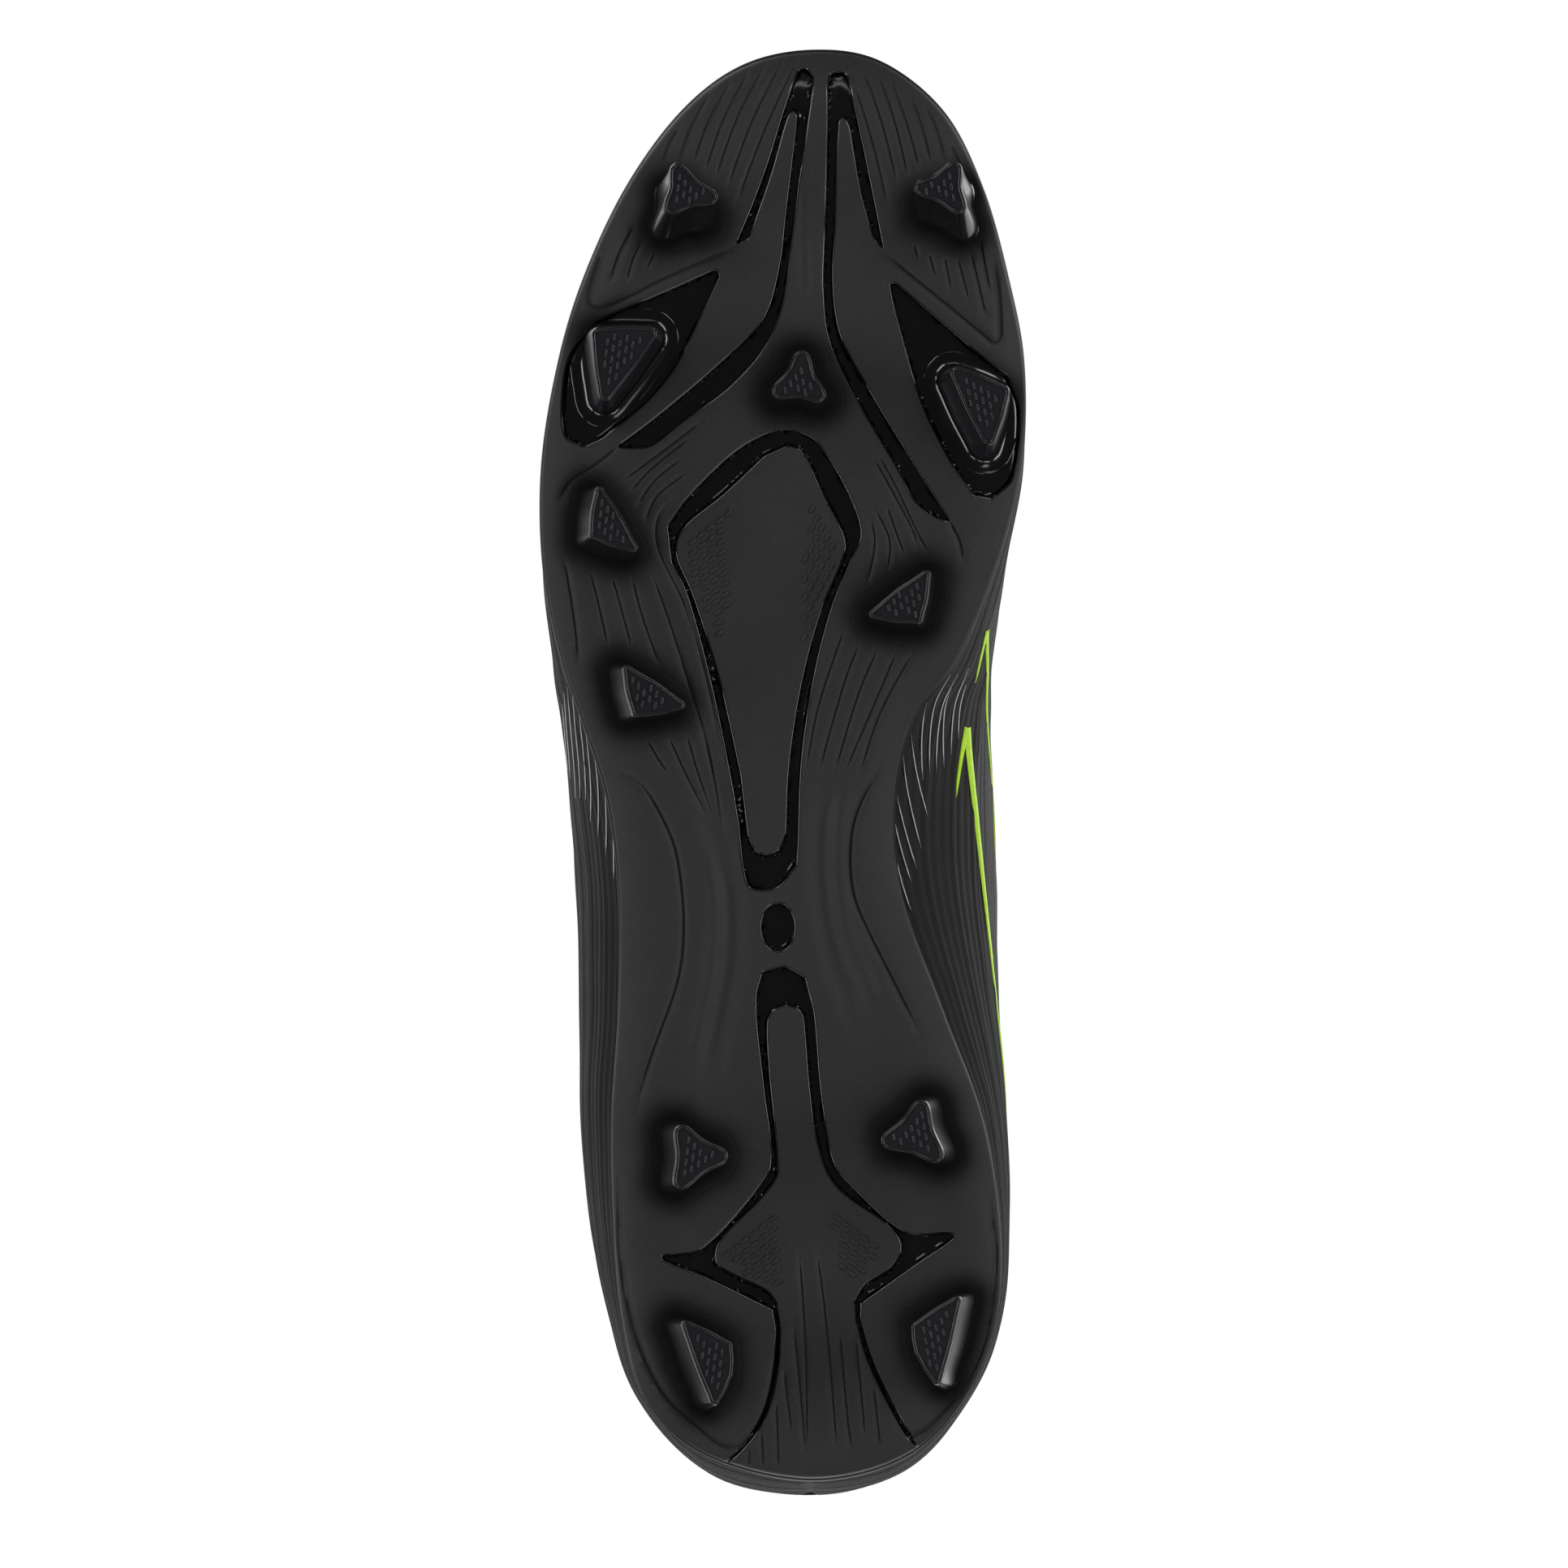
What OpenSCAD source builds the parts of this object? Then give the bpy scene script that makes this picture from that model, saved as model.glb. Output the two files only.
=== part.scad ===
// Right football boot with a moulded firm-ground sole: toe along -Y, heel along +Y,
// inner (big toe) side along +X, stud tips of ball and heel on z = 0.
// Every layer of the upper is a patch of one curved surface: u counts stations round the
// foot (0 toe, 18 heel, outer side first), v runs from the sole edge (0) to the top line (1).

/* [Overall size] */
// length of the boot from toe tip to heel, mm
boot_length = 285; // [235:1:345]
// width of the boot across the ball, mm
boot_width = 95; // [80:1:115]
// height of the upper above the sole plate at the heel, mm
upper_height = 83; // [65:1:105]
// height of the sole plate above the ground under the ball, mm
stud_length = 11.5; // [8:0.1:14]

/* [Sole plate] */
// thickness of the matte outer skin of the sole, mm
skin_thickness = 1.6; // [1.2:0.1:2.4]
// thickness of the glossy base plate, mm
plate_thickness = 2.4; // [1.8:0.1:3.5]
// how far the toe end of the sole curves up, mm
toe_spring = 12; // [6:0.5:18]
// how far the waist of the sole arches up, mm
arch_rise = 5.5; // [2:0.5:9]
// extra height under the heel, mm
heel_lift = 1.5; // [0:0.1:4]
// thickness of the moulded tip of every stud, mm
tip_thickness = 2.5; // [1.5:0.1:4]
// growth of a stud from its tip to its root on every side, mm
stud_flare = 1.5; // [0.8:0.1:2]
// hairline between the heel island and the skin beside it, mm
crease_gap = 0.3; // [0.2:0.05:0.8]

/* [Upper] */
// thickness of the textile shell, mm
shell_thickness = 1.4; // [1:0.1:2.2]
// thickness of the heel counter and the toe puff, mm
stiffener_thickness = 0.8; // [0.5:0.1:1.4]
// thickness of the linings, mm
lining_thickness = 0.8; // [0.5:0.1:1.4]
// thickness of the padding at the collar, mm
collar_padding = 4.0; // [2:0.1:6]
// thickness of the eyestay laid on the shell, mm
eyestay_thickness = 1.0; // [0.6:0.1:1.6]
// thickness of the back seam tape, mm
tape_thickness = 0.6; // [0.4:0.1:1]

/* [Tongue and lace] */
// thickness of the outer layer of the tongue, mm
tongue_shell_thickness = 1.2; // [0.8:0.1:2]
// thickness of the padded lining of the tongue, mm
tongue_pad_thickness = 3.4; // [2:0.1:6]
// width of the flat lace, mm
lace_width = 5.5; // [4:0.1:7]
// thickness of the flat lace, mm
lace_thickness = 1.6; // [1:0.1:2]
// diameter of the punched lace holes, mm
eyelet_diameter = 4.4; // [4:0.1:6]

/* [Inside] */
// thickness of the board that closes the upper underneath, mm
strobel_thickness = 1.5; // [1:0.1:2.5]
// thickness of the stiff shank let into the board under the waist, mm
shank_thickness = 1.0; // [0.6:0.1:1.3]
// thickness of the foam of the loose insole, mm
insole_foam_thickness = 3.5; // [2:0.1:5]
// thickness of the fabric cover of the loose insole, mm
insole_cover_thickness = 0.7; // [0.5:0.1:1.2]

// piece to draw

/* [Hidden] */
// names of all the pieces

// size of the drawing the tables below are written for
base_length = 285;
base_width = 95;
base_height = 83;
base_stud = 11.5;
// scale from that drawing to this boot
kx = boot_width / base_width;
ky = boot_length / base_length;
kz = upper_height / base_height;
// clearance left between pieces that only touch
touch = 0.05;
// sole thickness from the ground side to the inside
sole_thickness = skin_thickness + plate_thickness;
// distance of the upper from the rim of the sole
feather = 0.6;
// width over which the rim of the sole rolls up
roll = 9;

// matte, glossy and textile colours
matte_black = [0.13, 0.13, 0.14];
gloss_black = [0.04, 0.04, 0.05];
tip_blue = [0.15, 0.16, 0.2];
textile = [0.1, 0.1, 0.11];
grey_cloth = [0.45, 0.46, 0.47];
lime = [0.7, 0.9, 0.1];

// stations round the foot: sole edge x y, side x y z (v 0.35), shoulder x y z (v 0.7), top x y z
stations = [
    [5.6, -142, 5, -129, 47.5, 3.5, -88, 59, 1.5, -48.5, 70.5],
    [-8, -139, -5.8, -126.5, 47, -4.5, -86, 58.7, -2, -48, 70.5],
    [-19.8, -130, -16, -119, 46.3, -12.5, -81, 58.2, -5.3, -46.5, 70.8],
    [-30.6, -115, -25, -106, 45.3, -18.8, -72.5, 58, -8, -43, 71.8],
    [-38.9, -97, -33.5, -90.5, 45, -23.3, -61.5, 59.8, -9.8, -37, 73.8],
    [-43.9, -80, -39, -74, 45, -26, -50, 62, -10.6, -30, 76.4],
    [-47, -60, -42.8, -55, 45.5, -27.5, -37.5, 65.6, -11, -22, 79.5],
    [-46.6, -40, -43.6, -36, 46.5, -28.3, -25, 69, -11.3, -13.5, 82.8],
    [-42.9, -22, -43.2, -19, 47.5, -28.8, -13, 72.3, -11.6, -5, 86.2],
    [-39.1, -11, -42.6, -8, 48, -29.3, -3, 75, -12, 4, 90],
    [-34, 5, -41.8, 7, 48, -30, 9.5, 77.5, -12.8, 13, 93.6],
    [-31.8, 24, -40.9, 24.5, 47, -31.3, 24, 78, -16, 25.5, 96.3],
    [-32, 47, -40.2, 45.5, 43.5, -32.3, 42.5, 72.5, -23.5, 42, 88.5],
    [-33.3, 68, -39.7, 66, 41, -32, 62, 65.8, -26.8, 60, 80.5],
    [-32.8, 90, -37.8, 88, 39.5, -31.2, 83, 61.8, -26.8, 79.5, 77],
    [-31, 108.5, -34, 106.5, 39.5, -28.5, 101, 61.5, -23.8, 97, 77.8],
    [-26.5, 123.5, -28.2, 122.5, 41.5, -23.3, 116.5, 64, -19, 113, 82.8],
    [-14.8, 134, -14, 138.5, 44.5, -11.8, 131.5, 70, -9.5, 126, 90.5],
    [5, 138.8, 5.2, 143, 46, 5, 138.3, 73, 4.5, 131, 94],
    [23, 134.6, 23, 137.8, 44.5, 20.8, 130.8, 69.5, 18.3, 126, 90.5],
    [34.5, 123.5, 35.6, 123, 41.5, 31.2, 116, 64, 27.3, 113, 83],
    [41, 108.5, 42.2, 107, 39.5, 37.2, 100.5, 61.5, 31.2, 97, 78.3],
    [42, 90, 44, 88.5, 39.5, 38.8, 83, 61.8, 33, 79.5, 77.5],
    [38.5, 68, 43.6, 66, 41, 38, 62, 66.5, 32.5, 60, 81],
    [30.8, 47, 42.4, 45, 43.5, 36.3, 42, 73, 28, 42, 89],
    [22.6, 24, 41.8, 23.5, 46, 34.2, 23, 78, 19, 25.5, 96.8],
    [21.1, 5, 41.3, 5.5, 46, 31.8, 8.5, 76.3, 14.5, 13, 93.6],
    [25, -11.5, 40.8, -9.5, 46, 30.5, -4, 72.7, 13.6, 4, 90],
    [33, -22, 40.8, -20.5, 46.5, 29.8, -14, 70, 13.1, -5, 86.2],
    [40.8, -40, 41.8, -36.5, 46, 29.3, -26, 67, 12.7, -13.5, 82.8],
    [46, -60, 43.5, -55, 45.5, 28.8, -38.5, 64.3, 12.3, -22, 79.5],
    [46.6, -80, 42.8, -73.5, 45, 27.5, -51, 61.6, 11.8, -30, 76.4],
    [43.6, -97, 38.8, -90, 45, 24.8, -62, 60, 10.8, -37, 73.8],
    [38.6, -115, 33.3, -106, 45.6, 20.8, -72.5, 58.7, 9, -43, 71.8],
    [31, -130, 26.5, -119, 46.5, 16, -81, 58.4, 6.5, -46.5, 70.8],
    [18.8, -139.8, 16.3, -126.8, 47.3, 9.8, -86.3, 58.8, 4, -48, 70.5]];
station_count = len(stations);

// smooth curve between b and c
function smooth(a, b, c, d, t) =
    b + 0.5 * t * ((c - a) + t * ((2 * a - 5 * b + 4 * c - d) + t * (3 * (b - c) + d - a)));
// value of a closed list of stations at u
function around(q, u) =
    let (n = len(q), w = u < 0 ? u + n : u, k = floor(w), t = w - k)
    smooth(q[(k + n - 1) % n], q[k % n], q[(k + 1) % n], q[(k + 2) % n], t);
// smooth open curve through points, n steps for every span
function through(q, n = 3) =
    let (m = len(q))
    [for (i = [0:m - 2]) for (s = [0:i == m - 2 ? n : n - 1])
        smooth(i == 0 ? 2 * q[0] - q[1] : q[i - 1], q[i], q[i + 1],
            i == m - 2 ? 2 * q[m - 1] - q[m - 2] : q[i + 2], s / n)];
// unit vector
function unit(a) = a / norm(a);

// height of the ground side of the sole along the middle
function floor_height(y) =
    let (w = y / ky, toe = max(0, (-70 - w) / 72), back = max(0, (w - 115) / 28))
    stud_length + toe_spring * pow(toe, 2.2) + arch_rise * exp(-pow((w - 25) / 38, 2))
        + heel_lift / (1 + exp(-(w - 70) / 10)) + 2 * back * back;
// how far the rim of the sole rolls up
function rim_rise(y) = 2.5 + 1.5 * max(0, (-y / ky - 60) / 82);
// height of the ground side at y and at the distance e from the rim
function sole_height(y, e) =
    let (f = 1 - min(max(e, 0), roll) / roll)
    floor_height(y) + rim_rise(y) * f * f;

// plan of the upper's lower edge
edge_stations = [for (s = stations) [s[0] * kx, s[1] * ky]];
// height of a table value above the ground
function lift(z) = stud_length + (z - base_stud) * kz;
foot_stations = [for (s = stations)
    [s[0] * kx, s[1] * ky, sole_height(s[1] * ky, feather) + sole_thickness + touch]];
side_stations = [for (s = stations) [s[2] * kx, s[3] * ky, lift(s[4])]];
shoulder_stations = [for (s = stations) [s[5] * kx, s[6] * ky, lift(s[7])]];
top_stations = [for (s = stations) [s[8] * kx, s[9] * ky, lift(s[10])]];

// outer surface of the upper: a cubic through the four levels
function surf(u, v) =
    let (a = around(foot_stations, u), b = around(side_stations, u),
        c = around(shoulder_stations, u), d = around(top_stations, u))
    a * ((v - 0.35) * (v - 0.7) * (v - 1)) / (-0.35 * -0.7 * -1)
        + b * (v * (v - 0.7) * (v - 1)) / (0.35 * -0.35 * -0.65)
        + c * (v * (v - 0.35) * (v - 1)) / (0.7 * 0.35 * -0.3)
        + d * (v * (v - 0.35) * (v - 0.7)) / (1 * 0.65 * 0.3);
// direction into the boot
function inward(u, v) =
    unit(cross(surf(u + 0.1, v) - surf(u - 0.1, v), surf(u, v + 0.02) - surf(u, v - 0.02)));

// rows of points shared by every layer: two for each station; the last two levels lie past the top
levels = [0, 0.08, 0.2, 0.35, 0.55, 0.8, 0.9, 1, 1.006, 1.035];
top_level = 7;
columns = 2 * station_count;
half = station_count;
shell_points = [for (i = [0:columns - 1]) [for (v = levels) surf(i / 2, v)]];
shell_inward = [for (i = [0:columns - 1]) [for (v = levels) inward(i / 2, v)]];

// depth of the outside of the linings: flat in front, padded round the collar
stiff_depth = shell_thickness + touch + stiffener_thickness + touch;
function collar_weight(i) = min(1, max(0, (min(i, columns - i) - 21) / 4));
function pad_shape(j) = [0, 0, 0, 0, 0.45, 1, 0.9, 0.55, 0.5, 0.45][j];
function lining_depth(i, j) = stiff_depth + collar_padding * collar_weight(i) * pad_shape(j);

// point at column i, level j, depth d
function layer_point(i, j, d) =
    let (k = (i + columns) % columns)
    shell_points[k][j] + shell_inward[k][j] * d;
// grid of points: kind 0 takes the depth d, kind 1 adds it to the lining depth
function layer(i0, i1, j0, j1, kind, d) =
    [for (i = [i0:i1]) [for (j = [j0:j1])
        layer_point(i, j, kind == 0 ? d : d + lining_depth((i + columns) % columns, j))]];

// closed solid between two equal grids; loop joins the last row to the first
module between(a, b, loop = false) {
    n = len(a);
    m = len(a[0]);
    last = loop ? n - 1 : n - 2;
    points = concat([for (r = a) for (p = r) p], [for (r = b) for (p = r) p]);
    o = n * m;
    outer = [for (i = [0:last]) for (j = [0:m - 2])
        let (p = i * m + j, q = ((i + 1) % n) * m + j)
        each [[p, q, q + 1], [p, q + 1, p + 1]]];
    inner = [for (f = outer) [f[0] + o, f[2] + o, f[1] + o]];
    low = [for (i = [0:last])
        let (p = i * m, q = ((i + 1) % n) * m)
        each [[q, p, p + o], [q, p + o, q + o]]];
    high = [for (i = [0:last])
        let (p = i * m + m - 1, q = ((i + 1) % n) * m + m - 1)
        each [[p, q, p + o], [q, q + o, p + o]]];
    ends = loop ? [] : [for (j = [0:m - 2])
        let (p = j, q = (n - 1) * m + j)
        each [[p, p + 1, p + 1 + o], [p, p + 1 + o, p + o],
            [q + 1, q, q + 1 + o], [q, q + o, q + 1 + o]]];
    polyhedron(points = points, faces = concat(outer, inner, low, high, ends), convexity = 8);
}

// joins or cuts faceted shapes into one mesh
module as_mesh() {
    resize([0, 0, 0]) {
        children();
    }
}

// rim of the sole, one point for each column, and the direction away from it
rim_plan = [for (i = [0:columns - 1]) around(edge_stations, i / 2)];
rim_in = [for (i = [0:columns - 1])
    let (t = around(edge_stations, i / 2 + 0.1) - around(edge_stations, i / 2 - 0.1))
    unit([t[1], -t[0]])];
// point of a ring at the distance e inside the rim
function ring_plan(i, e) = rim_plan[i % columns] + rim_in[i % columns] * (e - feather);
function middle_plan(i) = (ring_plan(i, roll) + ring_plan(columns - i, roll)) / 2;

// distance of the inside pieces from the rim of the sole
board_inset = feather + stiff_depth + lining_thickness + 0.5;
insole_inset = board_inset + 0.8;
// rings shared by every sheet
sheet_rings = [0, 2.2, board_inset, insole_inset, roll];

// sheet that follows the sole: starts e0 inside the rim, lies between two heights above it
module sole_sheet(e0, low, high) {
    rings = [for (e = sheet_rings) if (e >= e0) e];
    m = len(rings);
    n = columns;
    plan = concat([for (e = rings) for (i = [0:n - 1]) concat(ring_plan(i, e), e)],
        [for (i = [1:half - 1]) concat(middle_plan(i), roll)]);
    o = len(plan);
    points = concat([for (p = plan) [p[0], p[1], sole_height(p[1], p[2]) + low]],
        [for (p = plan) [p[0], p[1], sole_height(p[1], p[2]) + high]]);
    bands = [for (k = [0:m - 2]) for (i = [0:n - 1])
        let (a = k * n + i, b = k * n + (i + 1) % n)
        each [[a, a + n, b + n], [a, b + n, b]]];
    ladder = [for (i = [0:half - 1])
        let (b = (m - 1) * n, l0 = b + i, l1 = b + i + 1, r0 = b + (n - i) % n, r1 = b + n - i - 1,
            c0 = m * n + i - 1, c1 = m * n + i)
        each i == 0 ? [[l0, c1, l1], [l0, r1, c1]]
            : i == half - 1 ? [[l0, c0, l1], [c0, r0, l1]]
            : [[l0, c0, c1], [l0, c1, l1], [c0, r0, r1], [c0, r1, c1]]];
    under = concat(bands, ladder);
    over = [for (f = under) [f[0] + o, f[2] + o, f[1] + o]];
    wall = [for (i = [0:n - 1])
        let (j = (i + 1) % n)
        each [[i, j, j + o], [i, j + o, i + o]]];
    polyhedron(points = points, faces = concat(under, over, wall), convexity = 6);
}

// scaled plan point
function flat(q) = [for (p = q) [p[0] * kx, p[1] * ky]];
// prism through the whole sole
module through_sole(q) {
    translate([0, 0, -5]) {
        linear_extrude(height = 70) {
            polygon(q);
        }
    }
}

// toe slots: a wide head that forks round a limb
slot_outer = flat(concat(
    through([[2.6, -137.8], [0.2, -131], [-3, -120.5], [-6.5, -111], [-9.3, -104.4]], 2),
    through([[-7.2, -105.5], [-3, -117.5], [-0.2, -127.5]], 2),
    through([[0.7, -130.1], [1.8, -130.9], [2.8, -130]], 2),
    through([[2.2, -124], [0.6, -111], [-0.8, -99.5], [-4.2, -89], [-13.5, -79.7],
        [-25, -70], [-32.6, -64.3]], 2),
    through([[-30, -64.1], [-26, -64.8], [-20, -69.5], [-11, -76], [-4, -84], [-0.3, -93],
        [1.3, -105], [3.3, -120], [5.4, -135]], 2),
    through([[5.6, -137.6], [4.3, -139.1], [3, -138.8]], 2)));
slot_inner = flat(concat(
    through([[12.4, -137.6], [14.3, -129], [17, -116], [19.4, -103.8]], 2),
    through([[17.9, -105.5], [15.4, -114.5], [13.2, -127.5]], 2),
    through([[12.6, -129], [11.5, -129.6], [10.6, -128.8]], 2),
    through([[10.3, -124], [10, -110], [9.4, -97], [11, -86], [16.5, -75.5], [25, -61.5],
        [32.5, -49.7]], 2),
    through([[29.5, -50.6], [26, -53.5], [22, -61], [14.5, -73.5], [9.2, -85], [8, -95],
        [8.4, -110], [8.8, -128], [8.8, -135.5]], 2),
    through([[9.2, -137.9], [10.8, -138.4], [12, -138.1]], 2)));
// glossy pockets round the two ball studs
pocket_outer = flat(concat(
    [[-12.8, -98.2], [-13.6, -99], [-33, -90.5]],
    through([[-37, -88.8], [-42.2, -82], [-43.6, -73], [-43, -66.5], [-39.5, -64.4]], 2),
    through([[-36, -66], [-27, -73.5], [-20.5, -82], [-14.5, -94.5]], 2)));
pocket_inner = flat(concat(
    [[21, -96.2], [21.8, -96.5], [40.8, -80.2]],
    through([[44, -78], [46.4, -71], [45.3, -59], [41, -54.2]], 2),
    through([[37.5, -54.8], [33, -61.5], [27, -74], [22, -91]], 2)));
// ring round the forefoot island
kite_outer = flat(concat(
    through([[-22.8, -48.5], [-18, -55], [-9, -63.5], [-1, -67.3], [4.5, -66.3], [8, -63],
        [13, -54], [15, -47], [13, -42], [9, -32], [5.5, -18], [3.2, -2], [2.6, 14]], 2),
    through([[2.4, 18], [-1.5, 22.5], [-6.5, 22.6], [-8, 18.5]], 2),
    through([[-8.8, 10], [-10.3, 1], [-14, -17], [-18.5, -34], [-22, -41.5]], 2)));
kite_inner = flat(concat(
    through([[1, -64.8], [4, -63], [8, -54.5], [12, -46.5], [11.5, -41.5], [7.5, -32],
        [3.7, -18], [1.2, -2], [0.5, 12]], 2),
    through([[-0.8, 15.4], [-3.2, 16.4], [-5.8, 15.5], [-7.3, 12.5]], 2),
    through([[-8.8, 0], [-13, -18.5], [-18, -34.5], [-21.4, -43], [-19.8, -48.5], [-12, -55],
        [-4, -62.5]], 2)));
// ring round the heel island, open towards the back
heel_outer_left = through([[-4.2, 39.5], [-5.4, 46], [-3.8, 62], [-2.3, 75], [-4.5, 81.5],
    [-15.5, 93.6], [-23.4, 95.3], [-22.5, 96.6], [-14, 100], [-2.2, 105.8]], 2);
heel_outer_right = through([[15, 104.6], [25, 97.5], [32.7, 92.2], [32.4, 91], [23.5, 90.6],
    [13.5, 82], [9.3, 76], [7, 62], [5.8, 48], [4, 40.5]], 2);
heel_inner_left = through([[-2.4, 46.6], [-3.5, 50], [-3, 60], [-1.6, 75], [-2.6, 81.3],
    [-12.3, 91.5], [-13.5, 96.5], [-10.5, 98.9], [-4, 102], [-1.7, 104.5]], 2);
heel_inner_right = through([[14.1, 104.5], [16.5, 100.8], [21.5, 97.5], [23.2, 93], [20, 88.5],
    [10.5, 81.5], [6.8, 73], [5.2, 62], [4.1, 49], [3, 46.4]], 2);
heel_panel_left = through([[-1.3, 110], [-1.8, 118], [-4, 126.5], [-9, 134], [-18, 141]], 2);
heel_panel_right = through([[34, 141], [27, 134], [21.5, 125], [17, 115.5], [14.8, 108.5]], 2);
heel_window = flat(concat(heel_outer_left, heel_panel_left, heel_panel_right,
    heel_outer_right, [[0, 38.3]]));
heel_plug = flat(concat(heel_inner_left, [for (p = heel_panel_left) p + [crease_gap, 0]],
    [for (p = heel_panel_right) p - [crease_gap, 0]], heel_inner_right, [[0.4, 45.6]]));
// oval window at the waist
oval_centre = [-1.2 * kx, 30.5 * ky];
oval_half = [3.2, 4.6];

// studs: name, tip corners, roundness, hollow of the sides, tip height, lean of the root
studs = [
    ["toe_outer", [[-20.9, -118.6], [-14.2, -113.2], [-22.2, -111.2]], 1.2, 0.5, 3, [-1.7, 4]],
    ["toe_inner", [[33.5, -118.8], [26.9, -115], [34.4, -111.2]], 1.2, 0.5, 3, [1.2, 4]],
    ["centre", [[3.5, -81.6], [-0.9, -75], [6.8, -74.2]], 1.3, 0.6, 0, [0, 0.6]],
    ["ball_outer", [[-36.3, -86], [-26.4, -86.2], [-35, -74.5]], 1.6, -0.2, 0, [-0.3, 0.6]],
    ["ball_inner", [[34.2, -78.4], [42.8, -74.8], [40.2, -66]], 1.6, -0.2, 0, [-0.8, 1.2]],
    ["mid_outer", [[-36.2, -55.3], [-37.4, -46.9], [-29.6, -44.2]], 1, -0.3, 0, [-1.8, 0.8]],
    ["mid_inner", [[27.9, -38.9], [17.6, -31.2], [26.3, -30.2]], 1, -0.3, 0, [0.3, 0.4]],
    ["rear_outer", [[-30.8, -20.2], [-20.3, -13.3], [-29, -11.8]], 1, -0.3, 0, [-2, 0.3]],
    ["heel_front_outer", [[-20, 70.6], [-12.3, 75.4], [-20.2, 80.6]], 1.3, 0.5, 0, [-1.9, 0.2]],
    ["heel_front_inner", [[26.9, 65.7], [20.4, 72.4], [29.9, 75.3]], 1.3, 0.5, 0, [1.6, 0]],
    ["heel_rear_outer", [[-19.2, 108.6], [-11, 112.6], [-11, 118.4], [-13.6, 123.4]], 1, -0.2, 0,
        [-2.2, 0.5]],
    ["heel_rear_inner", [[33.9, 103.8], [25.9, 109], [26.6, 114], [30, 119.4]], 1, -0.2, 0,
        [1.9, 0.4]]];

// middle of a list of points
function middle(q) = [for (k = [0, 1]) [for (p = q) p[k]] * [for (p = q) 1] / len(q)];
// outline of a stud: every corner is an arc grown by g, the sides between are hollow
function stud_ring(s, g) =
    let (q = flat(s[1]), n = len(q), c = middle(q), r = s[2] + g,
        turn = cross(q[1] - q[0], q[2] - q[1]) > 0 ? 1 : -1)
    [for (i = [0:n - 1])
        let (a = q[(i + n - 1) % n], b = q[i], d = q[(i + 1) % n],
            na = turn * unit([(b - a)[1], (a - b)[0]]), nb = turn * unit([(d - b)[1], (b - d)[0]]),
            m = unit(na + nb))
        each [b + r * na, b + r * unit(na + m), b + r * m, b + r * unit(nb + m), b + r * nb,
            (b + d) / 2 + nb * (r - s[3])]];
// ring of a stud moved by its lean
function stud_level(s, g, k, z) =
    [for (p = stud_ring(s, g)) [p[0] + s[5][0] * k, p[1] + s[5][1] * k, z]];
function stud_foot(s) = s[4] * (stud_length / base_stud);
function stud_root_plan(s) = [for (p = stud_level(s, stud_flare, 1, 0)) [p[0], p[1]]];
// distance of a point from the rim of the sole
function rim_distance(p) =
    min([for (i = [0:columns - 1]) norm(p - rim_plan[i])]) + feather;
function stud_sole(s) = [for (p = stud_root_plan(s)) sole_height(p[1], rim_distance(p))];
// recess of the glossy plate, seen round the ball studs
function stud_root_low(s) = min(stud_sole(s)) - 0.2;
function stud_root_high(s) = min(stud_sole(s)) + sole_thickness - 0.4;

// solid through a stack of rings
module stack(rings) {
    m = len(rings[0]);
    n = len(rings);
    sides = [for (i = [0:n - 2]) for (j = [0:m - 1])
        let (p = i * m + j, q = i * m + (j + 1) % m)
        each [[p, q, q + m], [p, q + m, p + m]]];
    spin = cross([rings[0][1][0] - rings[0][0][0], rings[0][1][1] - rings[0][0][1]],
        [rings[0][2][0] - rings[0][1][0], rings[0][2][1] - rings[0][1][1]]) > 0;
    ends = [[for (j = [m - 1:-1:0]) j], [for (j = [0:m - 1]) (n - 1) * m + j]];
    flip = [for (f = concat(sides, ends)) [for (k = [len(f) - 1:-1:0]) f[k]]];
    polyhedron(points = [for (r = rings) for (p = r) p],
        faces = spin ? flip : concat(sides, ends), convexity = 4);
}

// one stud body: tapers up to its root and is let into the sole
module stud_body(k) {
    s = studs[k];
    foot = stud_foot(s);
    low = stud_root_low(s);
    color(gloss_black) {
        stack([stud_level(s, 0, 0, foot + tip_thickness + touch),
            stud_level(s, 0.3 * stud_flare, 0.4, (foot + tip_thickness + low) / 2),
            stud_level(s, stud_flare, 1, low),
            stud_level(s, stud_flare, 1, stud_root_high(s))]);
    }
}

// one stud tip: a flat-bottomed pad
module stud_tip(k) {
    s = studs[k];
    color(tip_blue) {
        translate([0, 0, stud_foot(s)]) {
            linear_extrude(height = tip_thickness) {
                polygon(stud_ring(s, 0));
            }
        }
    }
}

// holes for all the stud roots, a little wider than the roots
module stud_sockets() {
    for (s = studs) {
        through_sole([for (p = stud_level(s, stud_flare + touch, 1, 0)) [p[0], p[1]]]);
    }
}

module outsole_plate() {
    color(gloss_black) {
        as_mesh() {
            difference() {
                sole_sheet(0, skin_thickness, sole_thickness);
                stud_sockets();
            }
        }
    }
}

module outsole_skin() {
    color(matte_black) {
        as_mesh() {
            difference() {
                sole_sheet(0, 0, skin_thickness - touch);
                through_sole(slot_outer);
                through_sole(slot_inner);
                through_sole(pocket_outer);
                through_sole(pocket_inner);
                through_sole(kite_outer);
                through_sole(heel_window);
                translate([oval_centre[0], oval_centre[1], 0]) {
                    scale([oval_half[0], oval_half[1], 1]) {
                        cylinder(r = 1, h = 60, $fn = 24);
                    }
                }
                stud_sockets();
            }
        }
    }
}

// matte island of the skin inside a ring
module island(q) {
    color(matte_black) {
        as_mesh() {
            intersection() {
                sole_sheet(0, 0, skin_thickness - touch);
                through_sole(q);
            }
        }
    }
}

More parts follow.
